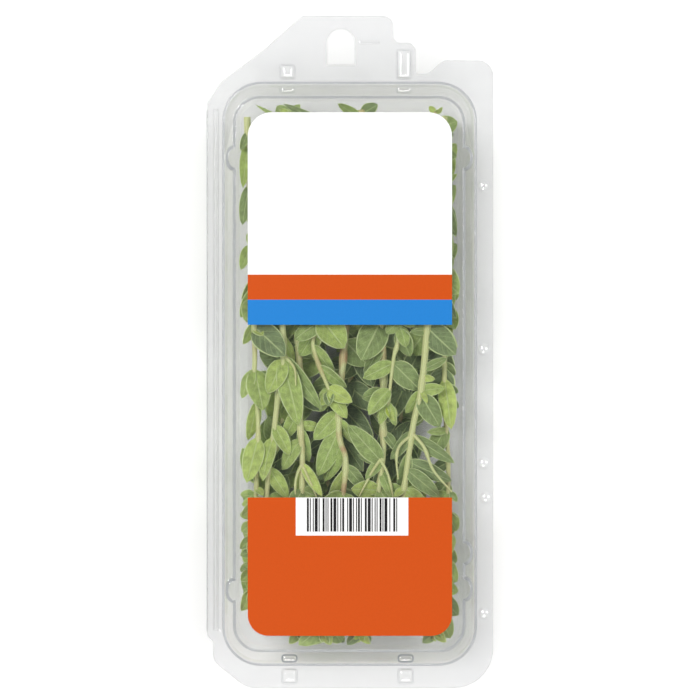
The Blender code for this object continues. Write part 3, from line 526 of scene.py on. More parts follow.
def new_material(name):
    """An empty node material with its output node, and its tree."""
    made = bpy.data.materials.new(name)
    made.use_nodes = True
    made.node_tree.nodes.clear()
    made.node_tree.nodes.new("ShaderNodeOutputMaterial")
    return made, made.node_tree


def show(made, shader):
    """Links the shader to the material's surface."""
    made.node_tree.links.new(shader.outputs[0], made.node_tree.nodes[0].inputs["Surface"])
    return made


def rgba(colour):
    return (*colour, 1.0)


def see_through(name, ior, tint, haze_and_shade_colour, haze, steep, roughness, wave_size, wave_height):
    """A clear sheet: it lets light straight through and mirrors by its index. Where a wall is seen edge-on it takes
    on a body colour:
    haze where that colour is near white, and painted shade where it is grey, standing in for the dark lines that bent
    light draws in a clear wall. Light on its way to other things only meets its tint. Both of its faces mirror alike,
    as the light isn't bent."""
    made, tree = new_material(name)
    where = add_node(tree, "TexCoord")
    waves = noise(tree, where.outputs["Object"], wave_size, 1.0)
    normal = add_node(tree, "Bump", Height=waves, Strength=0.3, Distance=wave_height * MM)
    passed = add_node(tree, "BsdfTransparent", Color=rgba(tint))
    gloss = add_node(tree, "BsdfAnisotropic", Color=(1, 1, 1, 1), Roughness=roughness, Normal=normal)
    # The share that is mirrored rises from its head-on value by the fifth power of the slant
    slant = add_node(tree, "LayerWeight", Blend=0.5, Normal=normal).outputs["Facing"]
    grazing = calc(tree, "POWER", slant, 5.0)
    mirror = remap(tree, grazing, (0.0, 1.0), (((ior - 1) / (ior + 1)) ** 2, 1.0))
    clear = add_node(tree, "MixShader", in_0=mirror, in_1=passed, in_2=gloss)
    edge_on = remap(tree, slant, EDGE_ON_SLANT, settings=SMOOTH)
    # Only the walls take on the body colour, as haze on the tray and as painted shade on the lid, and the flats stay
    # clear at any angle
    upright = add_node(tree, "SeparateXYZ", Vector=where.outputs["Normal"]).outputs["Z"]
    flatness = calc(tree, "ABSOLUTE", upright)
    wall = remap(tree, flatness, WALL_TO_FLAT, (1.0, 0.0), SMOOTH)
    both = calc(tree, "MULTIPLY", edge_on, wall)
    # Painted shade on the lid: its grey on edge-on walls stands in for the dark lines of bent light. On the tray the
    # near-white colour is haze
    haze_and_shade = remap(tree, both, (0.0, 1.0), (haze, steep))
    body = add_node(tree, "BsdfPrincipled", Base_Color=rgba(haze_and_shade_colour), Roughness=0.3, IOR=ior)
    look = add_node(tree, "MixShader", in_0=haze_and_shade, in_1=clear, in_2=body)
    seen = add_node(tree, "LightPath").outputs["Is Camera Ray"]
    return show(made, add_node(tree, "MixShader", in_0=seen, in_1=passed, in_2=look))


def clear_pet():
    """The lid's amorphous PET sheet, vacuum formed: glass-clear and glossy, with shallow waves 9 mm long from the
    forming, and grey where a wall is seen edge-on: painted shade, standing in for the dark lines that bent light
    draws there."""
    settings = bpy.context.scene.pack_sheet
    return see_through(
        "formed_clear_pet", settings.ior, settings.tint, settings.edge, haze=0.02, steep=0.88,
        roughness=settings.roughness, wave_size=9.0, wave_height=0.12,
    )


def hazy_pet():
    """The tray's sheet, drawn deeper and so thinner and slightly hazed all over, which makes it look white."""
    settings = bpy.context.scene.pack_sheet
    return see_through(
        "formed_hazy_pet", settings.ior, settings.tint, settings.haze, haze=0.17, steep=0.22,
        roughness=settings.roughness, wave_size=11.0, wave_height=0.15,
    )


def cut_edge():
    """The sheet's die-cut edge: the same plastic, drawn as a grey line that is painted shade, standing in for the
    dark line that bent light draws along a clear edge.
    """
    settings = bpy.context.scene.pack_sheet
    return bpy.data.materials.get("die_cut_pet_edge") or see_through(
        "die_cut_pet_edge", settings.ior, settings.tint, settings.cut, haze=0.85, steep=0.9,
        roughness=0.2, wave_size=3.0, wave_height=0.05,
    )


def clear_film():
    """Stretched polypropylene film: clear and glossy, almost without body, with slack ripples."""
    # The film's thin edges, seen edge-on, take its grey body colour as painted shade
    return see_through(
        "clear_polypropylene_film", 1.49, (0.99, 0.99, 0.99), (0.8, 0.8, 0.8), haze=0.0, steep=0.3,
        roughness=0.06, wave_size=FILM_RIPPLE, wave_height=0.1,
    )


def printed_ink(name, colour):
    """Flexographic ink on film: even colour with a faint mottle from the plate, and a satin gloss."""
    made, tree = new_material(name)
    place = add_node(tree, "TexCoord").outputs["Object"]
    mottle = noise(tree, place, INK_MOTTLE, 2.0)
    ripple = noise(tree, place, FILM_RIPPLE, 0.0)
    level = remap(tree, mottle, (0.3, 0.7), (0.965, 1.0))
    shade = scaled(tree, colour, level)
    bump = add_node(tree, "Bump", Height=ripple, Strength=0.15, Distance=0.15 * MM)
    return show(made, add_node(tree, "BsdfPrincipled", Base_Color=shade, Roughness=0.22, IOR=1.5, Normal=bump))


def leaf_surface(name, greens, vein, vein_share, roughness):
    """An oregano blade: matte and finely felted, greener with age, with a pale midrib and side veins, and a pale rim
    that is partly its paler margin and partly a painted highlight along the edge.
    """
    made, tree = new_material(name)
    uv = add_node(tree, "UVMap", {"uv_map": "blade"})
    parts = add_node(tree, "SeparateXYZ", Vector=uv)
    along, across = parts.outputs["X"], parts.outputs["Y"]
    centred = calc(tree, "SUBTRACT", across, 0.5)
    width = calc(tree, "ABSOLUTE", centred)
    age = add_node(tree, "Attribute", {"attribute_name": "tone"}).outputs["Fac"]
    ramp = add_node(tree, "ValToRGB", Fac=age)
    ramp.color_ramp.elements[0].color = rgba(greens[0])
    ramp.color_ramp.elements[1].color = rgba(greens[2])
    ramp.color_ramp.elements.new(0.5).color = rgba(greens[1])
    place = add_node(tree, "TexCoord").outputs["Object"]
    blotch = noise(tree, place, LEAF_BLOTCH, 3.0)
    felt = noise(tree, place, LEAF_FELT, 1.0)
    level = remap(tree, blotch, (0.3, 0.7), (0.72, 1.16))
    body = scaled(tree, ramp, level)
    midrib = remap(tree, width, (0.012, 0.05), (1.0, 0.0), SMOOTH)
    # The side veins run forward to the rim
    slant = calc(tree, "MULTIPLY_ADD", width, -VEIN_SLANT, along)
    count = calc(tree, "MULTIPLY", slant, SIDE_VEINS)
    cycle = calc(tree, "PINGPONG", count, 0.5)
    side = remap(tree, cycle, (0.02, 0.11), (0.35, 0.0), SMOOTH)
    veins = calc(tree, "MAXIMUM", midrib, side)
    # The pale rim: partly the leaf's paler margin, partly a painted highlight where light catches the edge
    rim = remap(tree, width, (0.448, 0.485), settings=SMOOTH)
    share = calc(tree, "MULTIPLY", veins, vein_share)
    pale = calc(tree, "MAXIMUM", share, rim)
    colour = blended(tree, pale, body, rgba(vein))
    quilt = calc(tree, "MULTIPLY_ADD", veins, -1.0, felt)
    bump = add_node(tree, "Bump", Height=quilt, Strength=0.55, Distance=0.25 * MM)
    shader = add_node(
        tree, "BsdfPrincipled", Base_Color=colour, Roughness=roughness, IOR=1.42, Subsurface_Weight=0.12,
        Subsurface_Scale=0.6 * MM, Subsurface_Radius=(0.6, 1.0, 0.2), Sheen_Weight=0.25, Sheen_Roughness=0.5,
        Normal=bump,
    )
    return show(made, shader)


def stem_surface(stem, flush):
    """An oregano stem: waxy pale green with fine ridges along it, flushed red-brown where it is older."""
    made, tree = new_material("oregano_stem")
    uv = add_node(tree, "UVMap", {"uv_map": "blade"})
    parts = add_node(tree, "SeparateXYZ", Vector=uv)
    red = add_node(tree, "Attribute", {"attribute_name": "tone"}).outputs["Fac"]
    place = add_node(tree, "TexCoord").outputs["Object"]
    patch = noise(tree, place, FLUSH_PATCH, 2.0)
    amount = remap(tree, patch, (0.42, 0.62), (0.0, 0.9))
    flushed = calc(tree, "MULTIPLY", amount, red)
    turn = calc(tree, "MULTIPLY", parts.outputs["Y"], STEM_RIDGES)
    ridge = calc(tree, "PINGPONG", turn, 0.5)
    # Painted shade: the stem's colour is darker in the grooves between its ridges and lighter on them
    level = remap(tree, ridge, (0.0, 0.5), (0.88, 1.08))
    tinted = blended(tree, flushed, rgba(stem), rgba(flush))
    colour = scaled(tree, tinted, level)
    bump = add_node(tree, "Bump", Height=ridge, Strength=0.35, Distance=0.12 * MM)
    shader = add_node(
        tree, "BsdfPrincipled", Base_Color=colour, Roughness=0.48, IOR=1.45, Subsurface_Weight=0.1,
        Subsurface_Scale=0.5 * MM, Subsurface_Radius=(0.8, 1.0, 0.3), Normal=bump,
    )
    return show(made, shader)


def pale_floor(colour):
    """Matte painted board, with a faint unevenness."""
    made, tree = new_material("matte_white_board")
    place = add_node(tree, "TexCoord").outputs["Object"]
    cloud = noise(tree, place, FLOOR_CLOUD, 1.0)
    rough = remap(tree, cloud, (0.0, 1.0), (0.75, 0.85))
    return show(made, add_node(tree, "BsdfPrincipled", Base_Color=rgba(colour), Roughness=rough))


def box_outline(box, inset=0.0, steps=ARC_STEPS):
    """A rectangle with round corners, anticlockwise from its lower right corner."""
    left, right, foot, top, radius = box
    radius = max(radius - inset, 0.2)
    left, right, foot, top = left + inset, right - inset, foot + inset, top - inset
    centres = (
        (right - radius, foot + radius, -90),
        (right - radius, top - radius, 0),
        (left + radius, top - radius, 90),
        (left + radius, foot + radius, 180),
    )
    points = []
    for x, y, start in centres:
        for step in range(steps + 1):
            angle = math.radians(start + 90 * step / steps)
            points.append((x + radius * math.cos(angle), y + radius * math.sin(angle)))
    return points


def rounded_outline(corners, arc_degrees=9.0):
    """An outline from corners (x, y, radius), with an arc at each corner."""
    points = []
    for index, (x, y, radius) in enumerate(corners):
        corner = Vector((x, y))
        before = (Vector(corners[index - 1][:2]) - corner).normalized()
        after = (Vector(corners[(index + 1) % len(corners)][:2]) - corner).normalized()
        half = before.angle(after) / 2
        centre = corner + (before + after).normalized() * radius / math.sin(half)
        start = corner + before * radius / math.tan(half) - centre
        end = corner + after * radius / math.tan(half) - centre
        turn = start.angle_signed(end)
        steps = max(1, math.ceil(abs(math.degrees(turn)) / arc_degrees))
        for step in range(steps + 1):
            arm = start @ Matrix.Rotation(turn * step / steps, 2)
            points.append(tuple(centre + arm))
    return points


def window_outline(grow=0.0):
    """The window's edge, with a half-round lug standing out at each of the lugs' places."""
    left, right, foot, top, radius = WINDOW
    corners = box_outline((left - grow, right + grow, foot - grow, top + grow, radius + grow))
    arc = ARC_STEPS + 1

    def lug(side, middle, direction):
        edge = right + grow if side > 0 else left - grow
        return [
            (
                edge + side * LUG_REACH * math.cos(angle),
                middle + direction * (LUG_RADIUS + grow) * math.sin(angle),
            )
            for angle in (math.pi * (step / LUG_STEPS - 0.5) for step in range(LUG_STEPS + 1))
        ]

    rising = [point for y in LUGS_RIGHT_Y for point in lug(1, y, 1)]
    falling = [point for y in reversed(LUGS_LEFT_Y) for point in lug(-1, y, -1)]
    return corners[:arc] + rising + corners[arc : 3 * arc] + falling + corners[3 * arc :]


def hole_outline(grow=0.0, steps=18):
    """The hang hole's edge, with its round end towards +Y."""
    radius = HOLE_RADIUS + grow
    arc = [
        (
            HOLE_X + radius * math.cos(math.pi * step / steps),
            HOLE_SHOULDER_Y + radius * math.sin(math.pi * step / steps),
        )
        for step in range(steps + 1)
    ]
    return arc + [(HOLE_X - radius, HOLE_FOOT_Y - grow), (HOLE_X + radius, HOLE_FOOT_Y - grow)]


def circle_outline(x, y, radius):
    turns = [2 * math.pi * (side + 0.5) / DOT_SIDES for side in range(DOT_SIDES)]
    return [(x + radius * math.cos(turn), y + radius * math.sin(turn)) for turn in turns]


def filleted(profile, steps=FILLET_STEPS):
    """A profile of points (inset, height, radius) with its corners rounded, as (inset, height)."""
    points = []
    for index, (inset, height, radius) in enumerate(profile):
        corner = Vector((inset, height))
        if not radius:
            points.append(tuple(corner))
            continue
        before = Vector(profile[index - 1][:2]) - corner
        after = Vector(profile[index + 1][:2]) - corner
        half = before.angle(after) / 2
        reach = min(radius / math.tan(half), 0.48 * before.length, 0.48 * after.length)
        start, end = corner + before.normalized() * reach, corner + after.normalized() * reach
        for step in range(steps + 1):
            t = step / steps
            points.append(tuple((1 - t) ** 2 * start + 2 * t * (1 - t) * corner + t * t * end))
    return points


def start_clean():
    if bpy.context.object and bpy.context.object.mode != "OBJECT":
        bpy.ops.object.mode_set(mode="OBJECT")
    bpy.ops.object.select_all(action="DESELECT")


def activate(obj):
    start_clean()
    bpy.context.view_layer.objects.active = obj
    obj.select_set(True)


def new_piece(name):
    """An object in edit mode that rings are drawn in, from a circle that is taken away again."""
    start_clean()
    bpy.ops.mesh.primitive_circle_add(radius=MM)
    obj = bpy.context.object
    obj.name = obj.data.name = name
    bpy.ops.object.mode_set(mode="EDIT")
    bpy.ops.mesh.select_all(action="SELECT")
    bpy.ops.mesh.delete(type="VERT")
    return obj


def selected_verts(obj):
    bm = bmesh.from_edit_mesh(obj.data)
    return bm, [vert for vert in bm.verts if vert.select]


def draw_ring(obj, outline, z):
    """Adds a circle with as many corners as the outline and shapes it. It stays selected."""
    bpy.ops.mesh.select_all(action="DESELECT")
    bpy.ops.mesh.primitive_circle_add(vertices=len(outline), radius=MM, fill_type="NOTHING")
    bm, verts = selected_verts(obj)
    middle = sum((vert.co for vert in verts), Vector()) / len(verts)
    verts.sort(key=lambda vert: math.atan2(vert.co.y - middle.y, vert.co.x - middle.x))
    for vert, (x, y) in zip(verts, outline):
        vert.co = (x * MM, y * MM, z * MM)
    bmesh.update_edit_mesh(obj.data)


def pull_ring(obj, old, new, new_z):
    """Extrudes the selected ring and moves each new corner from its place on the old outline to the new one."""
    bpy.ops.mesh.extrude_edges_move()
    bm, verts = selected_verts(obj)
    places = KDTree(len(old))
    for index, (x, y) in enumerate(old):
        places.insert((x, y, 0), index)
    places.balance()
    for vert in verts:
        _, index, _ = places.find((vert.co.x / MM, vert.co.y / MM, 0))
        x, y = new[index]
        vert.co = (x * MM, y * MM, new_z * MM)
    bmesh.update_edit_mesh(obj.data)


def raise_form(obj, rings, capped=True):
    """Draws the first ring, pulls it through the others and closes the last. rings are (outline, z)."""
    draw_ring(obj, *rings[0])
    for (old, _), (new, new_z) in zip(rings, rings[1:]):
        pull_ring(obj, old, new, new_z)
    if capped:
        bpy.ops.mesh.edge_face_add()


def fill_level(obj, z):
    """Fills the flat face between all the open rings at one height."""
    bpy.ops.mesh.select_all(action="DESELECT")
    bpy.ops.mesh.select_mode(type="EDGE")
    bm = bmesh.from_edit_mesh(obj.data)
    for edge in bm.edges:
        level = all(abs(vert.co.z - z * MM) < MERGE * MM for vert in edge.verts)
        edge.select = level and len(edge.link_faces) < 2
    bm.select_flush_mode()
    bmesh.update_edit_mesh(obj.data)
    bpy.ops.mesh.fill(use_beauty=True)
    bpy.ops.mesh.select_mode(type="VERT")


def dome_rings(x, y, z, radius, rise, steps=5):
    """A low dome with a small flat top."""
    rings = []
    for step in range(steps):
        angle = math.pi / 2 * step / (steps - 0.4)
        rings.append((circle_outline(x, y, radius * math.cos(angle)), z + rise * math.sin(angle)))
    return rings


def rib_rings(x, foot, top, z, rise, steps=5):
    """A half-round rib along Y."""
    plan = (x - RIB_HALF_WIDTH, x + RIB_HALF_WIDTH, foot, top, 1.0)
    reach = min(rise * 1.3, 0.46 * (top - foot))
    rings = []
    for step in range(steps):
        angle = math.pi / 2 * step / (steps - 1)
        inset = reach * (1 - math.cos(angle))
        rings.append((box_outline(plan, inset, 3), z + rise * math.sin(angle)))
    return rings


def bead_rings(box, z, rise, steps=4):
    """A long bead that stands rise above the flat sheet at z, or hangs below it."""
    slope = 0.3 * min(box[1] - box[0], box[3] - box[2])
    rings = []
    for step in range(steps):
        angle = math.pi / 2 * step / (steps - 1)
        inset = slope * (1 - math.cos(angle))
        rings.append((box_outline((*box, slope), inset, 3), z + rise * math.sin(angle)))
    return rings


def turn_outward():
    """Points the faces of the closed mesh in edit mode outwards, and leaves edit mode."""
    bpy.ops.mesh.select_all(action="SELECT")
    bpy.ops.mesh.normals_make_consistent(inside=False)
    bpy.ops.object.mode_set(mode="OBJECT")


def apply_modifier(obj, name, kind, **values):
    """Adds a modifier with its settings and applies it."""
    added = obj.modifiers.new(name, kind)
    for key, value in values.items():
        setattr(added, key, value)
    bpy.ops.object.modifier_apply(modifier=name)


def form_sheet(obj, outward_up, material):
    """Merges the drawn face, turns it outward, and gives it its thickness on the inner side."""
    bpy.ops.mesh.select_all(action="SELECT")
    bpy.ops.mesh.remove_doubles(threshold=MERGE * MM)
    bpy.ops.mesh.normals_make_consistent(inside=False)
    bm = bmesh.from_edit_mesh(obj.data)
    facing = sum(face.normal.z * face.calc_area() for face in bm.faces)
    if (facing > 0) != outward_up:
        bpy.ops.mesh.flip_normals()
    bpy.ops.object.mode_set(mode="OBJECT")
    add_finishes(obj, material, cut_edge())
    apply_modifier(
        obj, "sheet", "SOLIDIFY", thickness=bpy.context.scene.pack_sheet.thickness, offset=-1, use_even_offset=True,
        use_quality_normals=True, material_offset_rim=1,
    )
    apply_modifier(
        obj, "trimmed_edge", "BEVEL", width=EDGE_TRIM * MM, segments=1, limit_method="ANGLE",
        angle_limit=math.radians(TRIM_DEGREES), material=1,
    )
    bpy.ops.object.shade_smooth_by_angle(angle=math.radians(SHEET_SMOOTH))
    apply_modifier(obj, "even_shading", "WEIGHTED_NORMAL", keep_sharp=True, weight=80)
    settle(obj)
    return obj


def settle(obj):
    """Puts the object at the origin, with its place in its mesh."""
    activate(obj)
    bpy.ops.object.transform_apply(location=True, rotation=True, scale=True)


def build_tray():
    """The lower half: flange, drafted wall and a floor with a raised middle."""
    obj = new_piece("clear_tray")
    profile = filleted(TRAY_PROFILE)
    raise_form(obj, [(box_outline(RIM, TRAY_MOUTH_INSET + inset), z) for inset, z in profile])
    raise_form(obj, bead_rings(HINGE_BEAD, FLANGE_Z, -BEAD_RISE))
    for x, y in SNAP_DOTS:
        raise_form(obj, dome_rings(x, y, FLANGE_Z, TRAY_DOT_RADIUS, TRAY_DOT_RISE))
    draw_ring(obj, rounded_outline(FLANGE_CORNERS), FLANGE_Z)
    draw_ring(obj, hole_outline(TRAY_HOLE_GROWTH), FLANGE_Z)
    fill_level(obj, FLANGE_Z)
    return form_sheet(obj, False, hazy_pet())


def build_lid():
    """The upper half: flange with ribs and snap dots, rim, ledge, and the flat window with its lugs."""
    obj = new_piece("clear_lid")
    flange_z = LID_FLANGE_Z + CAD_SHEET
    ledge_z = flange_z + RIM_RISE
    rim = [(box_outline(RIM, inset), flange_z + z) for inset, z in filleted(RIM_PROFILE)]
    raise_form(obj, rim, capped=False)
    window = [(window_outline(grow), ledge_z + z) for grow, z in filleted(WINDOW_PROFILE)]
    raise_form(obj, window)
    for x, foot, top in FLANGE_RIBS:
        raise_form(obj, rib_rings(x, foot, top, flange_z, RIB_RISE))
    for x, foot, top in LEDGE_RIBS:
        raise_form(obj, rib_rings(x, foot, top, ledge_z, LEDGE_RIB_RISE))
    for x, y in SNAP_DOTS:
        raise_form(obj, dome_rings(x, y, flange_z, LID_DOT_RADIUS, LID_DOT_RISE))
    raise_form(obj, bead_rings(HINGE_BEAD, flange_z, BEAD_RISE))
    raise_form(obj, bead_rings(TAB_RIDGE, flange_z, TAB_RIDGE_RISE))
    draw_ring(obj, rounded_outline(FLANGE_CORNERS), flange_z)
    draw_ring(obj, hole_outline(), flange_z)
    fill_level(obj, flange_z)
    fill_level(obj, ledge_z)
    return form_sheet(obj, True, clear_pet())


def printed_layer(name, outlines, z, thickness, material):
    """A flat layer on the label: its outlines filled and pulled up to its thickness, in metres."""
    obj = new_piece(name)
    for outline in outlines:
        draw_ring(obj, outline, z)
        bpy.ops.mesh.edge_face_add()
        bpy.ops.mesh.extrude_region_move(TRANSFORM_OT_translate={"value": (0, 0, thickness)})
    turn_outward()
    add_finishes(obj, material)
    settle(obj)
    return obj


def label_corners(foot, top, foot_radius, top_radius):
    left, right = LABEL[0], LABEL[1]
    return (
        (right, foot, foot_radius),
        (right, top, top_radius),
        (left, top, top_radius),
        (left, foot, foot_radius),
    )


def square_corners(box):
    left, right, foot, top = box
    return [(right, foot), (right, top), (left, top), (left, foot)]


def code_bars():
    """Plain bars of one, two or three units, in an order that spells nothing."""
    left, right, foot, top = BARS
    unit = (right - left) / (sum(BAR_WIDTHS) + sum(GAP_WIDTHS))
    bars = []
    for bar, gap in zip(BAR_WIDTHS, GAP_WIDTHS + (0,)):
        bars.append(square_corners((left, left + bar * unit, foot, top)))
        left += (bar + gap) * unit
    return bars


def smooth_path(points, count):
    """Even samples of a Catmull-Rom curve through the points."""
    knots = [Vector(point) for point in points]
    knots = [2 * knots[0] - knots[1], *knots, 2 * knots[-1] - knots[-2]]
    dense = []
    for a, b, c, d in zip(knots, knots[1:], knots[2:], knots[3:]):
        for step in range(40):
            t = step / 40
            dense.append(
                0.5 * (2 * b + (c - a) * t + (2 * a - 5 * b + 4 * c - d) * t**2 + (3 * b - a - 3 * c + d) * t**3)
            )
    dense.append(knots[-2])
    lengths = [0.0]
    for a, b in zip(dense, dense[1:]):
        lengths.append(lengths[-1] + (b - a).length)
    path = []
    index = 0
    for sample in range(count):
        want = lengths[-1] * sample / (count - 1)
        while index < len(lengths) - 2 and lengths[index + 1] < want:
            index += 1
        share = (want - lengths[index]) / (lengths[index + 1] - lengths[index])
        path.append(dense[index].lerp(dense[index + 1], min(max(share, 0), 1)))
    return path, lengths[-1]


def stem_frame(path, share):
    """Place, direction, sideways and upward unit vectors at a share of the stem's length."""
    at = share * (len(path) - 1)
    index = min(int(at), len(path) - 2)
    place = path[index].lerp(path[index + 1], at - index)
    ahead = path[min(index + 2, len(path) - 1)] - path[max(index - 1, 0)]
    ahead.normalize()
    side = ahead.cross(Vector((0, 0, 1))).normalized()
    return place, ahead, side, side.cross(ahead)


def stem_mesh(path, radius, grow=0.0, rings=STEM_RINGS, sides=STEM_SIDES):
    """A tapered stem with closed ends, as points and triangles or quads."""
    points, faces = [], []
    for ring in range(rings):
        share = ring / (rings - 1)
        place, _, side, up = stem_frame(path, share)
        reach = radius * (1 - STEM_TAPER * share) + grow
        for corner in range(sides):
            turn = 2 * math.pi * corner / sides
            points.append(place + (side * math.cos(turn) + up * math.sin(turn)) * reach)
    for ring in range(rings - 1):
        for corner in range(sides):
            a = ring * sides + corner
            b = ring * sides + (corner + 1) % sides
            faces.append((a, b, b + sides, a + sides))
    faces.append(tuple(reversed(range(sides))))
    faces.append(tuple(range((rings - 1) * sides, rings * sides)))
    return points, faces


def half_width(leaf, u):
    """Half the blade's width at a share of its length: narrow at the stalk, widest before the middle."""
    blade = leaf["half_width"] * math.sin(math.pi * u**0.75) ** 0.75 if 0 < u < 1 else 0.0
    return max(blade, STALK_HALF_WIDTH * (1 - u))


def leaf_point(leaf, u, v, offset=0.0):
    """A point of the blade: u from stalk to tip, v from edge to edge, offset along the blade's normal."""
    width = half_width(leaf, u)
    rise = leaf["fold"] * abs(v) * width - leaf["bend"] * leaf["length"] * u * u + offset
    return leaf["base"] + leaf["along"] * leaf["length"] * u + leaf["across"] * v * width + leaf["normal"] * rise


def leaf_mesh(leaf, grow=0.0, from_row=0):
    """The coarse blade as a closed solid, with both faces split alike. from_row 1 leaves out the stalk."""
    rows = [0.0, *(LEAF_ROWS if leaf["rows"] == 2 else SMALL_LEAF_ROWS)]
    thick = BLADE / 2 + grow
    columns = []
    for number, u in enumerate(rows):
        if number >= from_row:
            columns.append([leaf_point(leaf, u, v) for v in ((-1, 1) if u == 0 else (-1, 0, 1))])
    columns.append([leaf_point(leaf, 1.0, 0)])
    sheet = [point for row in columns for point in row]
    starts = [sum(len(row) for row in columns[:number]) for number in range(len(columns))]
    top = []
    for number in range(len(columns) - 1):
        a, b = starts[number], starts[number + 1]
        shape = (len(columns[number]), len(columns[number + 1]))
        if shape == (2, 3):
            top += [(a, b + 1, b), (a, a + 1, b + 1), (a + 1, b + 2, b + 1)]
        elif shape == (3, 3):
            top += [(a, a + 1, b + 1), (a, b + 1, b), (a + 1, a + 2, b + 1), (a + 2, b + 2, b + 1)]
        else:
            top += [(a, a + 1, b), (a + 1, a + 2, b)]
    left = [starts[number] for number in range(len(columns) - 1)]
    right = [starts[number] + len(columns[number]) - 1 for number in range(len(columns) - 1)]
    first = list(range(starts[0], starts[0] + len(columns[0])))
    around = [*reversed(left), *first[1:-1], *right, starts[-1]]
    count = len(sheet)
    normal = leaf["normal"]
    points = [point + normal * thick for point in sheet] + [point - normal * thick for point in sheet]
    faces = list(top) + [tuple(reversed([corner + count for corner in face])) for face in top]
    for a, b in zip(around, around[1:] + around[:1]):
        faces.append((b, a, a + count, b + count))
    return points, faces


class Pile:
    """What has been laid in the tray so far. A new leaf has to stay clear of it."""

    def __init__(self):
        self.pieces = []

    def lay(self, owner, full, outer):
        """full is what other sprigs keep clear of, and outer is what the same sprig's leaves keep clear of."""
        self.pieces.append((owner, solid_tree(full), solid_tree(outer)))

    def clear_of(self, owner, full, outer):
        full_tree, outer_tree = solid_tree(full), solid_tree(outer)
        for other, other_full, other_outer in self.pieces:
            mine, theirs = (outer_tree, other_outer) if other == owner else (full_tree, other_full)
            if boxes_meet(mine, theirs) and mine[0].overlap(theirs[0]):
                return False
        return True


def solid_tree(shape):
    points, faces = shape
    low = Vector(min(point[axis] for point in points) for axis in range(3))
    high = Vector(max(point[axis] for point in points) for axis in range(3))
    return BVHTree.FromPolygons(points, faces), low, high


def boxes_meet(a, b):
    return all(a[1][axis] <= b[2][axis] and b[1][axis] <= a[2][axis] for axis in range(3))


def in_bed(point):
    """True inside the round-cornered space between tray and window."""
    left, right, foot, top, radius = BED
    if not BED_FLOOR_Z <= point.z <= BED_TOP_Z:
        return False
    across = abs(point.x - (left + right) / 2) - (right - left) / 2 + radius
    along = abs(point.y - (foot + top) / 2) - (top - foot) / 2 + radius
    return math.hypot(max(across, 0), max(along, 0)) <= radius


def make_leaf(rng, frame, sign, length, spread, rows):
    """One leaf from a node: leaning off the stem by spread degrees, then lifted and rolled a little."""
    place, ahead, side, up = frame
    lean = math.radians(rng.uniform(*spread))
    lift = math.radians(rng.uniform(-LIFT, LIFT))
    along = ahead * math.cos(lean) + side * sign * math.sin(lean)
    along = (along * math.cos(lift) + up * math.sin(lift)).normalized()
    normal = (up - along * up.dot(along)).normalized()
    normal.rotate(Matrix.Rotation(math.radians(rng.uniform(-ROLL, ROLL)), 3, along))
    return {
        "base": place,
        "along": along,
        "normal": normal,
        "across": along.cross(normal).normalized(),
        "length": length,
        "half_width": length * HALF_WIDTH_SHARE * rng.uniform(*WIDTH_SPREAD),
        "fold": rng.uniform(*FOLDS),
        "bend": rng.uniform(*BENDS),
        "rows": rows,
    }


def lay_leaf(pile, sprig, leaf, ceiling=BED_TOP_Z):
    """Adds the leaf to its sprig if it lies in the tray and clear of the pile, and says whether it does."""
    full = leaf_mesh(leaf, CLEARANCE)
    if not all(in_bed(point) and point.z <= ceiling for point in full[0]):
        return False
    outer = leaf_mesh(leaf, CLEARANCE, 1)
    if not pile.clear_of(sprig["number"], full, outer):
        return False
    pile.lay(sprig["number"], full, outer)
    sprig["leaves"].append(leaf)
    return True


def place_leaf(rng, pile, sprig, frame, sign, length, spread, rows, tones=None, ceiling=BED_TOP_Z):
    """Draws leaves until one can be laid, a little smaller each time. Its tone is drawn between the two tones."""
    for attempt in range(LEAF_TRIES):
        size = length * (1 - SHRINK_PER_TRY * attempt)
        leaf = make_leaf(rng, frame, sign, size, spread, rows)
        if lay_leaf(pile, sprig, leaf, ceiling):
            if tones:
                leaf["tone"] = rng.uniform(*tones)
            return


def aimed_leaf(path, base, tip, half_width, roll):
    """A leaf from the stem's nearest point to a tip, rolled by so many degrees from flat."""
    place = min(path, key=lambda point: (point.x - base[0]) ** 2 + (point.y - base[1]) ** 2)
    reach = Vector(tip) - place
    along = reach.normalized()
    up = Vector((0, 0, 1))
    normal = (up - along * up.dot(along)).normalized()
    normal.rotate(Matrix.Rotation(math.radians(roll), 3, along))
    return {
        "base": place,
        "along": along,
        "normal": normal,
        "across": along.cross(normal).normalized(),
        "length": reach.length,
        "half_width": half_width,
        "fold": SHOWN_FOLD,
        "bend": SHOWN_BEND,
        "rows": 2,
    }


def place_shown_leaves(pile, sprigs, rows):
    """Looks for room for each of the leaves that show, from its level downwards."""
    for number, base_x, base_y, tip_x, tip_y, half_width, level, tone in rows:
        sprig = sprigs[number]
        for size, height, roll in itertools.product(SHOWN_LENGTHS, SHOWN_HEIGHTS[level:], SHOWN_ROLLS):
            at = (base_x + (tip_x - base_x) * size, base_y + (tip_y - base_y) * size, height)
            leaf = aimed_leaf(sprig["path"], (base_x, base_y), at, half_width * size, roll)
            if lay_leaf(pile, sprig, leaf):
                leaf["tone"] = tone
                break


def in_shown_span(place):
    """True where the clear part of the label shows the herbs, and a little past it."""
    return SHOWN_SPAN[0] < place.y < SHOWN_SPAN[1]


def between(ends, share):
    return ends[0] + (ends[1] - ends[0]) * share


def node_distances(length):
    """Where the leaf pairs sit along a stem, closer together towards the tip."""
    at = FIRST_NODE
    while at < length - BARE_TIP:
        yield at
        at += NODE_SPACING[0] + (NODE_SPACING[1] - NODE_SPACING[0]) * at / length


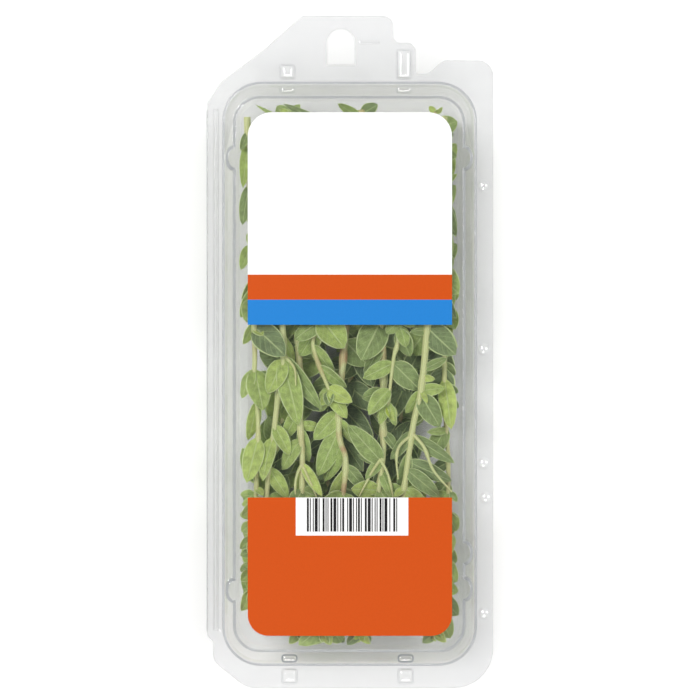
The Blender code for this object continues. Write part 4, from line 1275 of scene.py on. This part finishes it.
def plan_sprigs():
    """Every sprig as its stem's path and radius and its leaves, as the part's source lays them."""
    rng = random.Random(SEED)
    pile = Pile()
    sprigs = []
    for number, (radius, *route) in enumerate(SPRIG_ROUTES):
        path, length = smooth_path(route, PATH_POINTS)
        stem = stem_mesh(path, radius, CLEARANCE)
        pile.lay(number, stem, stem)
        sprigs.append({"number": number, "path": path, "length": length, "radius": radius, "leaves": []})
    place_shown_leaves(pile, sprigs, SHOWN_LEAVES)
    for sprig in sprigs:
        for pair, distance in enumerate(node_distances(sprig["length"])):
            share = distance / sprig["length"]
            frame = stem_frame(sprig["path"], share)
            if sprig["number"] < SHOWN_SPRIGS and in_shown_span(frame[0]):
                continue
            longest = between(LEAF_LENGTH, share)
            for sign in (-1, 1):
                length = longest * rng.uniform(0.85, 1.1)
                place_leaf(rng, pile, sprig, frame, sign, length, NODE_SPREADS[pair % 2], 2)
        place, ahead, side, up = stem_frame(sprig["path"], 1.0)
        tip = (place - ahead * TIP_SETBACK, ahead, side, up)
        for sign in (-1, 1):
            place_leaf(rng, pile, sprig, tip, sign, TIP_LEAF_LENGTH * rng.uniform(0.85, 1.15), TIP_SPREAD, 1)
    return sprigs, pile


def grow_more(sprigs, pile, rounds):
    """Lays more leaves along the stems, young ones in the axils, and crossing pairs at the tips."""
    rng = random.Random(EXTRA_SEED)
    place_shown_leaves(pile, sprigs, GAP_LEAVES)
    for leaf_round in range(rounds + DEEP_ROUNDS):
        for sprig in sprigs:
            for distance in node_distances(sprig["length"]):
                share = min((distance + leaf_round * ROUND_STEP + rng.uniform(0, 2)) / sprig["length"], 0.99)
                frame = stem_frame(sprig["path"], share)
                shown = in_shown_span(frame[0])
                if leaf_round >= rounds and not shown:
                    continue
                longest = between(EXTRA_LENGTH, share)
                # Leaves deep in the shown span get dark tones, as painted shade, and stay low
                tones, ceiling = (DEEP_SHADE_TONES, DEEP_TOP) if shown else (EXTRA_TONES, BED_TOP_Z)
                for sign in (-1, 1):
                    length = longest * rng.uniform(0.7, 1.1)
                    place_leaf(rng, pile, sprig, frame, sign, length, EXTRA_SPREAD, 2, tones, ceiling)
    for sprig in sprigs:
        for distance in node_distances(sprig["length"]):
            frame = stem_frame(sprig["path"], distance / sprig["length"])
            if in_shown_span(frame[0]):
                continue
            for sign in (-1, -1, 1, 1):
                place_leaf(rng, pile, sprig, frame, sign, rng.uniform(*AXIL_LENGTH), AXIL_SPREAD, 1, AXIL_TONES)
        for pair in range(len(PAIR_LENGTHS)):
            place, ahead, side, up = stem_frame(sprig["path"], 1.0)
            turn = Matrix.Rotation(math.pi / 2 * (pair % 2) + PAIR_TURN, 3, ahead)
            frame = (place - ahead * PAIR_SETBACKS[pair], ahead, turn @ side, turn @ up)
            for sign in (-1, 1):
                leaf = make_leaf(rng, frame, sign, PAIR_LENGTHS[pair], PAIR_SPREAD, 1)
                if all(in_bed(point) for point in leaf_mesh(leaf)[0]):
                    leaf["tone"] = rng.uniform(*PAIR_TONES)
                    sprig["leaves"].append(leaf)


def leaf_template():
    """A flat blade of a few dozen faces, whose corners say how far along and across it they are."""
    start_clean()
    bpy.ops.mesh.primitive_grid_add(x_subdivisions=BLADE_ROWS, y_subdivisions=BLADE_COLUMNS, size=2, calc_uvs=True)
    obj = bpy.context.object
    obj.name = "leaf_template"
    obj.data.uv_layers[0].name = "blade"
    obj.data.attributes.new("tone", "FLOAT", "POINT")
    return obj


def blade_half_width(leaf, u):
    """The blade's real outline, rounder towards its tip than the coarse one."""
    blade = FINE_WIDTH * leaf["half_width"] * math.sin(math.pi * u**0.78) ** 0.6 if 0 < u < 1 else 0.0
    return max(blade, STALK_HALF_WIDTH * (1 - u))


def fine_leaf(template, leaf, tone, rng):
    """A copy of the template bent to one leaf, with its rim waved a little."""
    obj = template.copy()
    obj.data = template.data.copy()
    bpy.context.scene.collection.objects.link(obj)
    phase, depth = rng.uniform(0, 6.28), rng.uniform(*WAVE_DEPTHS)
    cup, arch = rng.uniform(*CUPS), rng.uniform(*ARCHES)
    for vert in obj.data.vertices:
        u, v = (vert.co.x + 1) / 2, vert.co.y
        width = blade_half_width(leaf, u)
        wave = depth * abs(v) ** 3 * math.sin(phase + 9 * u + 2 * v) * width / 4
        wave += cup * abs(v) ** 1.6 * width + arch * math.sin(math.pi * u)
        out = width / max(half_width(leaf, u), 0.01)
        vert.co = leaf_point(leaf, u, v * out, wave) * MM
    obj.data.attributes["tone"].data.foreach_set("value", [tone] * len(obj.data.vertices))
    return obj


def fine_stem(sprig, name, flush):
    """A grid rolled round the stem's path, swollen at each node and closed at both ends."""
    start_clean()
    bpy.ops.mesh.primitive_grid_add(x_subdivisions=TUBE_RINGS, y_subdivisions=TUBE_SIDES, size=2, calc_uvs=True)
    obj = bpy.context.object
    obj.name = name
    obj.data.uv_layers[0].name = "blade"
    nodes = list(node_distances(sprig["length"])) or [0.0]
    for vert in obj.data.vertices:
        share, turn = (vert.co.x + 1) / 2, math.pi * (vert.co.y + 1)
        place, _, side, up = stem_frame(sprig["path"], share)
        near = min(abs(share * sprig["length"] - distance) for distance in nodes)
        swell = 1 + NODE_SWELL * math.exp(-((near / NODE_SWELL_LENGTH) ** 2))
        # Oregano has a square stem with rounded corners
        square = 1 + SQUARENESS * math.cos(4 * turn)
        reach = sprig["radius"] * (1 - STEM_TAPER * share) * swell * square
        vert.co = (place + (side * math.cos(turn) + up * math.sin(turn)) * reach) * MM
    tone = obj.data.attributes.new("tone", "FLOAT", "POINT")
    tone.data.foreach_set("value", [flush] * len(obj.data.vertices))
    bpy.ops.object.mode_set(mode="EDIT")
    bpy.ops.mesh.select_all(action="SELECT")
    bpy.ops.mesh.remove_doubles(threshold=MERGE * MM)
    bpy.ops.mesh.select_all(action="DESELECT")
    bpy.ops.mesh.select_non_manifold()
    bpy.ops.mesh.fill_holes(sides=0)
    turn_outward()
    return obj


def add_finishes(obj, *finishes):
    for finish in finishes:
        obj.data.materials.append(finish)


def build_sprig(number, sprig, template, finishes):
    """The stem and its leaves as one piece."""
    rng = random.Random(number)
    leaves = []
    for leaf in sprig["leaves"]:
        tone = leaf["tone"] if "tone" in leaf else rng.uniform(*LEAF_TONES)
        leaves.append(fine_leaf(template, leaf, tone, rng))
    start_clean()
    for leaf in leaves:
        leaf.select_set(True)
    bpy.context.view_layer.objects.active = leaves[0]
    bpy.ops.object.join()
    blades = bpy.context.object
    add_finishes(blades, *finishes)
    apply_modifier(blades, "blade", "SOLIDIFY", thickness=FINE_BLADE * MM, offset=0, material_offset=1)
    stem = fine_stem(sprig, f"sprig_{number:02d}_stem", STEM_FLUSH[number - 1])
    add_finishes(stem, *finishes)
    stems = [stem]
    for owner, radius, *route in SHOOTS:
        if owner == number - 1:
            path, length = smooth_path(route, PATH_POINTS)
            shoot = {"path": path, "length": length, "radius": radius}
            stems.append(fine_stem(shoot, f"sprig_{number:02d}_shoot", SHOOT_FLUSH))
            add_finishes(stems[-1], *finishes)
    for tube in stems:
        for face in tube.data.polygons:
            face.material_index = 2
    activate(blades)
    for tube in stems:
        tube.select_set(True)
    bpy.ops.object.join()
    blades.name = blades.data.name = f"oregano_sprig_{number:02d}"
    bpy.ops.object.shade_smooth_by_angle(angle=math.radians(SPRIG_SMOOTH))
    settle(blades)
    return blades


def aim(obj, target):
    """Points a lamp at a place."""
    obj.rotation_euler = (Vector(target) - obj.location).to_track_quat("-Z", "Y").to_euler()


class PACK_OT_tray(bpy.types.Operator):
    """Forms the clear tray"""

    bl_idname = "herb_pack.tray"
    bl_label = "Tray"

    def execute(self, context):
        tray = build_tray()
        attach(tray, "tray_body")
        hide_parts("tray")
        return {"FINISHED"}


class PACK_OT_lid(bpy.types.Operator):
    """Forms the clear lid"""

    bl_idname = "herb_pack.lid"
    bl_label = "Lid"

    def execute(self, context):
        lid = build_lid()
        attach(lid, "lid_body")
        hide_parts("lid")
        return {"FINISHED"}


class PACK_OT_hinge(bpy.types.Operator):
    """Joins tray and lid by the thin fold of their sheet"""

    bl_idname = "herb_pack.hinge"
    bl_label = "Hinge fold"

    def execute(self, context):
        obj = new_piece("hinge_fold")
        low, high = FLANGE_Z + FOLD_INSET, LID_FLANGE_Z + CAD_SHEET - FOLD_INSET
        middle, reach = (low + high) / 2, (high - low) / 2
        arc = []
        for step in range(FOLD_STEPS + 1):
            angle = math.pi * (step / FOLD_STEPS - 0.5)
            arc.append((-HALF_WIDTH + FOLD_LAP - FOLD_REACH * math.cos(angle), middle + reach * math.sin(angle)))
        inner = [(x + (FOLD_THICK if 0 < step < FOLD_STEPS else FOLD_LAP), z) for step, (x, z) in enumerate(arc)]
        draw_ring(obj, arc + inner[::-1], 0.0)
        _, verts = selected_verts(obj)
        for vert in verts:
            vert.co = (vert.co.x, FOLD_Y[0] * MM, vert.co.y)
        bmesh.update_edit_mesh(obj.data)
        bpy.ops.mesh.edge_face_add()
        span = (FOLD_Y[1] - FOLD_Y[0]) * MM
        bpy.ops.mesh.extrude_region_move(TRANSFORM_OT_translate={"value": (0, span, 0)})
        turn_outward()
        add_finishes(obj, bpy.data.materials["formed_clear_pet"])
        bpy.ops.object.shade_smooth_by_angle(angle=math.radians(FOLD_SMOOTH))
        settle(obj)
        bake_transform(obj)
        return {"FINISHED"}


class PACK_OT_label(bpy.types.Operator):
    """Lays the clear film on the window and prints its panels"""

    bl_idname = "herb_pack.label"
    bl_label = "Film label"

    def execute(self, context):
        settings = context.scene.pack_label
        left, right, foot, top = LABEL
        film_z = LID_TOP_Z + FILM_GAP
        outline = rounded_outline(label_corners(foot, top, LABEL_FOOT_RADIUS, LABEL_TOP_RADIUS))
        film = printed_layer("label_film", [outline], film_z, settings.film_thickness, clear_film())
        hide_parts("label")
        white = printed_ink("white_flexo_ink", settings.white)
        orange = printed_ink("orange_flexo_ink", settings.orange)
        blue = printed_ink("blue_flexo_ink", settings.blue)
        black = printed_ink("black_flexo_ink", settings.black)
        # Each layer stands a hair over the one below, as faces in one plane show as stripes
        ink_z = film_z + settings.film_thickness / MM + LAYER_GAP
        layer = settings.ink_thickness / MM + LAYER_GAP
        white_corners = label_corners(WHITE_FOOT, top, SQUARE_RADIUS, LABEL_TOP_RADIUS)
        orange_corners = label_corners(foot, PANEL_TOP, LABEL_FOOT_RADIUS, SQUARE_RADIUS)
        layers = (
            ("label_white_panel", [rounded_outline(white_corners)], white, 0),
            ("label_orange_stripe", [square_corners((left, right, STRIPE_FOOT, WHITE_FOOT))], orange, 0),
            ("label_blue_band", [square_corners((left, right, BAND_FOOT, STRIPE_FOOT))], blue, 0),
            ("label_orange_panel", [rounded_outline(orange_corners)], orange, 0),
            ("label_code_box", [square_corners(CODE_BOX)], white, 1),
            ("label_code_bars", code_bars(), black, 2),
        )
        pieces = [film]
        for name, outlines, ink, level in layers:
            pieces.append(printed_layer(name, outlines, ink_z + level * layer, settings.ink_thickness, ink))
        for piece in pieces:
            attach(piece, "lid_body")
        return {"FINISHED"}


class PACK_OT_sprigs(bpy.types.Operator):
    """Grows the twelve oregano sprigs"""

    bl_idname = "herb_pack.sprigs"
    bl_label = "Oregano sprigs"

    def execute(self, context):
        settings = context.scene.pack_herb
        greens = (settings.old_leaf, settings.leaf, settings.young_leaf)
        pale = linear("#B9C4A4")
        under = [tuple(between(pair, PALENESS) for pair in zip(green, pale)) for green in greens]
        finishes = (
            leaf_surface("oregano_leaf_face", greens, settings.vein, vein_share=0.3, roughness=0.62),
            leaf_surface("oregano_leaf_underside", under, settings.vein, vein_share=0.6, roughness=0.7),
            stem_surface(settings.stem, settings.flush),
        )
        sprigs, pile = plan_sprigs()
        grow_more(sprigs, pile, settings.extra_rounds)
        template = leaf_template()
        for number, sprig in enumerate(sprigs, 1):
            piece = build_sprig(number, sprig, template, finishes)
            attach(piece, "tray_body")
            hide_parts(f"sprig_{number:02d}")
        bpy.data.objects.remove(template)
        return {"FINISHED"}


class PACK_OT_stage(bpy.types.Operator):
    """Lays the floor and sets the lamps and the camera"""

    bl_idname = "herb_pack.stage"
    bl_label = "Stage"

    def execute(self, context):
        settings = context.scene.pack_stage
        start_clean()
        bpy.ops.mesh.primitive_plane_add(size=FLOOR_SIZE, location=(0, 0, -FLOOR_GAP * MM))
        floor = context.object
        floor.name = "floor"
        add_finishes(floor, pale_floor(settings.floor))
        settle(floor)
        for name, power, size, place in LAMPS:
            bpy.ops.object.light_add(type="AREA", location=place)
            lamp = context.object
            lamp.name = name
            lamp.data.size = size
            lamp.data.energy = getattr(settings, power)
            aim(lamp, (0, 0, 0))
        world = bpy.data.worlds.new("studio")
        world.use_nodes = True
        tree = world.node_tree
        direction = add_node(tree, "TexCoord").outputs["Generated"]
        # The room is white but for a dim strip overhead, across the pack, where the camera hangs
        flat = add_node(tree, "VectorMath", {"operation": "MULTIPLY"}, in_0=direction, in_1=STRIP_STRETCH)
        apart = add_node(tree, "VectorMath", {"operation": "LENGTH"}, in_0=flat)
        overhead = add_node(
            tree, "MapRange", SMOOTH, Value=apart.outputs["Value"], From_Min=STRIP_EDGE[0], From_Max=STRIP_EDGE[1],
            To_Min=settings.overhead, To_Max=1.0,
        )
        background = tree.nodes["Background"]
        background.inputs["Strength"].default_value = settings.sky
        tree.links.new(overhead.outputs[0], background.inputs["Color"])
        context.scene.world = world
        x, y = FRAME_MIDDLE
        flange = LID_FLANGE_Z * MM
        bpy.ops.object.camera_add(location=(x * MM, y * MM, flange + settings.distance), rotation=(0, 0, 0))
        camera = context.object
        camera.name = "photo_camera"
        camera.data.sensor_width = SENSOR_WIDTH
        camera.data.lens = SENSOR_WIDTH * settings.distance / (FRAME_WIDTH * MM)
        camera.data.clip_start = CLIP_START
        context.scene.camera = camera
        context.scene.view_settings.view_transform = "Standard"
        # A look through the open pack crosses many clear walls
        context.scene.cycles.transparent_max_bounces = CLEAR_WALLS
        return {"FINISHED"}


class PACK_PT_panel(bpy.types.Panel):
    """Lists the pack's pieces"""

    bl_idname = "PACK_PT_panel"
    bl_label = "Herb pack"
    bl_space_type = "VIEW_3D"
    bl_region_type = "UI"
    bl_category = "Herb pack"

    def draw(self, context):
        for step in STEPS:
            self.layout.operator(step.bl_idname)
        for group in SETTINGS:
            box = self.layout.box()
            held = getattr(context.scene, group)
            for name in held.bl_rna.properties.keys():
                if name not in ("rna_type", "name"):
                    box.prop(held, name)


SETTINGS = {
    "pack_sheet": SheetSettings,
    "pack_label": LabelSettings,
    "pack_herb": HerbSettings,
    "pack_stage": StageSettings,
}
STEPS = (PACK_OT_stage, PACK_OT_tray, PACK_OT_lid, PACK_OT_hinge, PACK_OT_label, PACK_OT_sprigs)
CLASSES = (*SETTINGS.values(), *STEPS, PACK_PT_panel)


def register():
    for made in CLASSES:
        bpy.utils.register_class(made)
    for name, group in SETTINGS.items():
        setattr(bpy.types.Scene, name, PointerProperty(type=group))


def unregister():
    for name in SETTINGS:
        delattr(bpy.types.Scene, name)
    for made in reversed(CLASSES):
        bpy.utils.unregister_class(made)


def main():
    register()
    bpy.ops.herb_pack.stage()
    bpy.ops.herb_pack.tray()
    bpy.ops.herb_pack.lid()
    bpy.ops.herb_pack.hinge()
    bpy.ops.herb_pack.label()
    bpy.ops.herb_pack.sprigs()


if __name__ == "__main__":
    main()
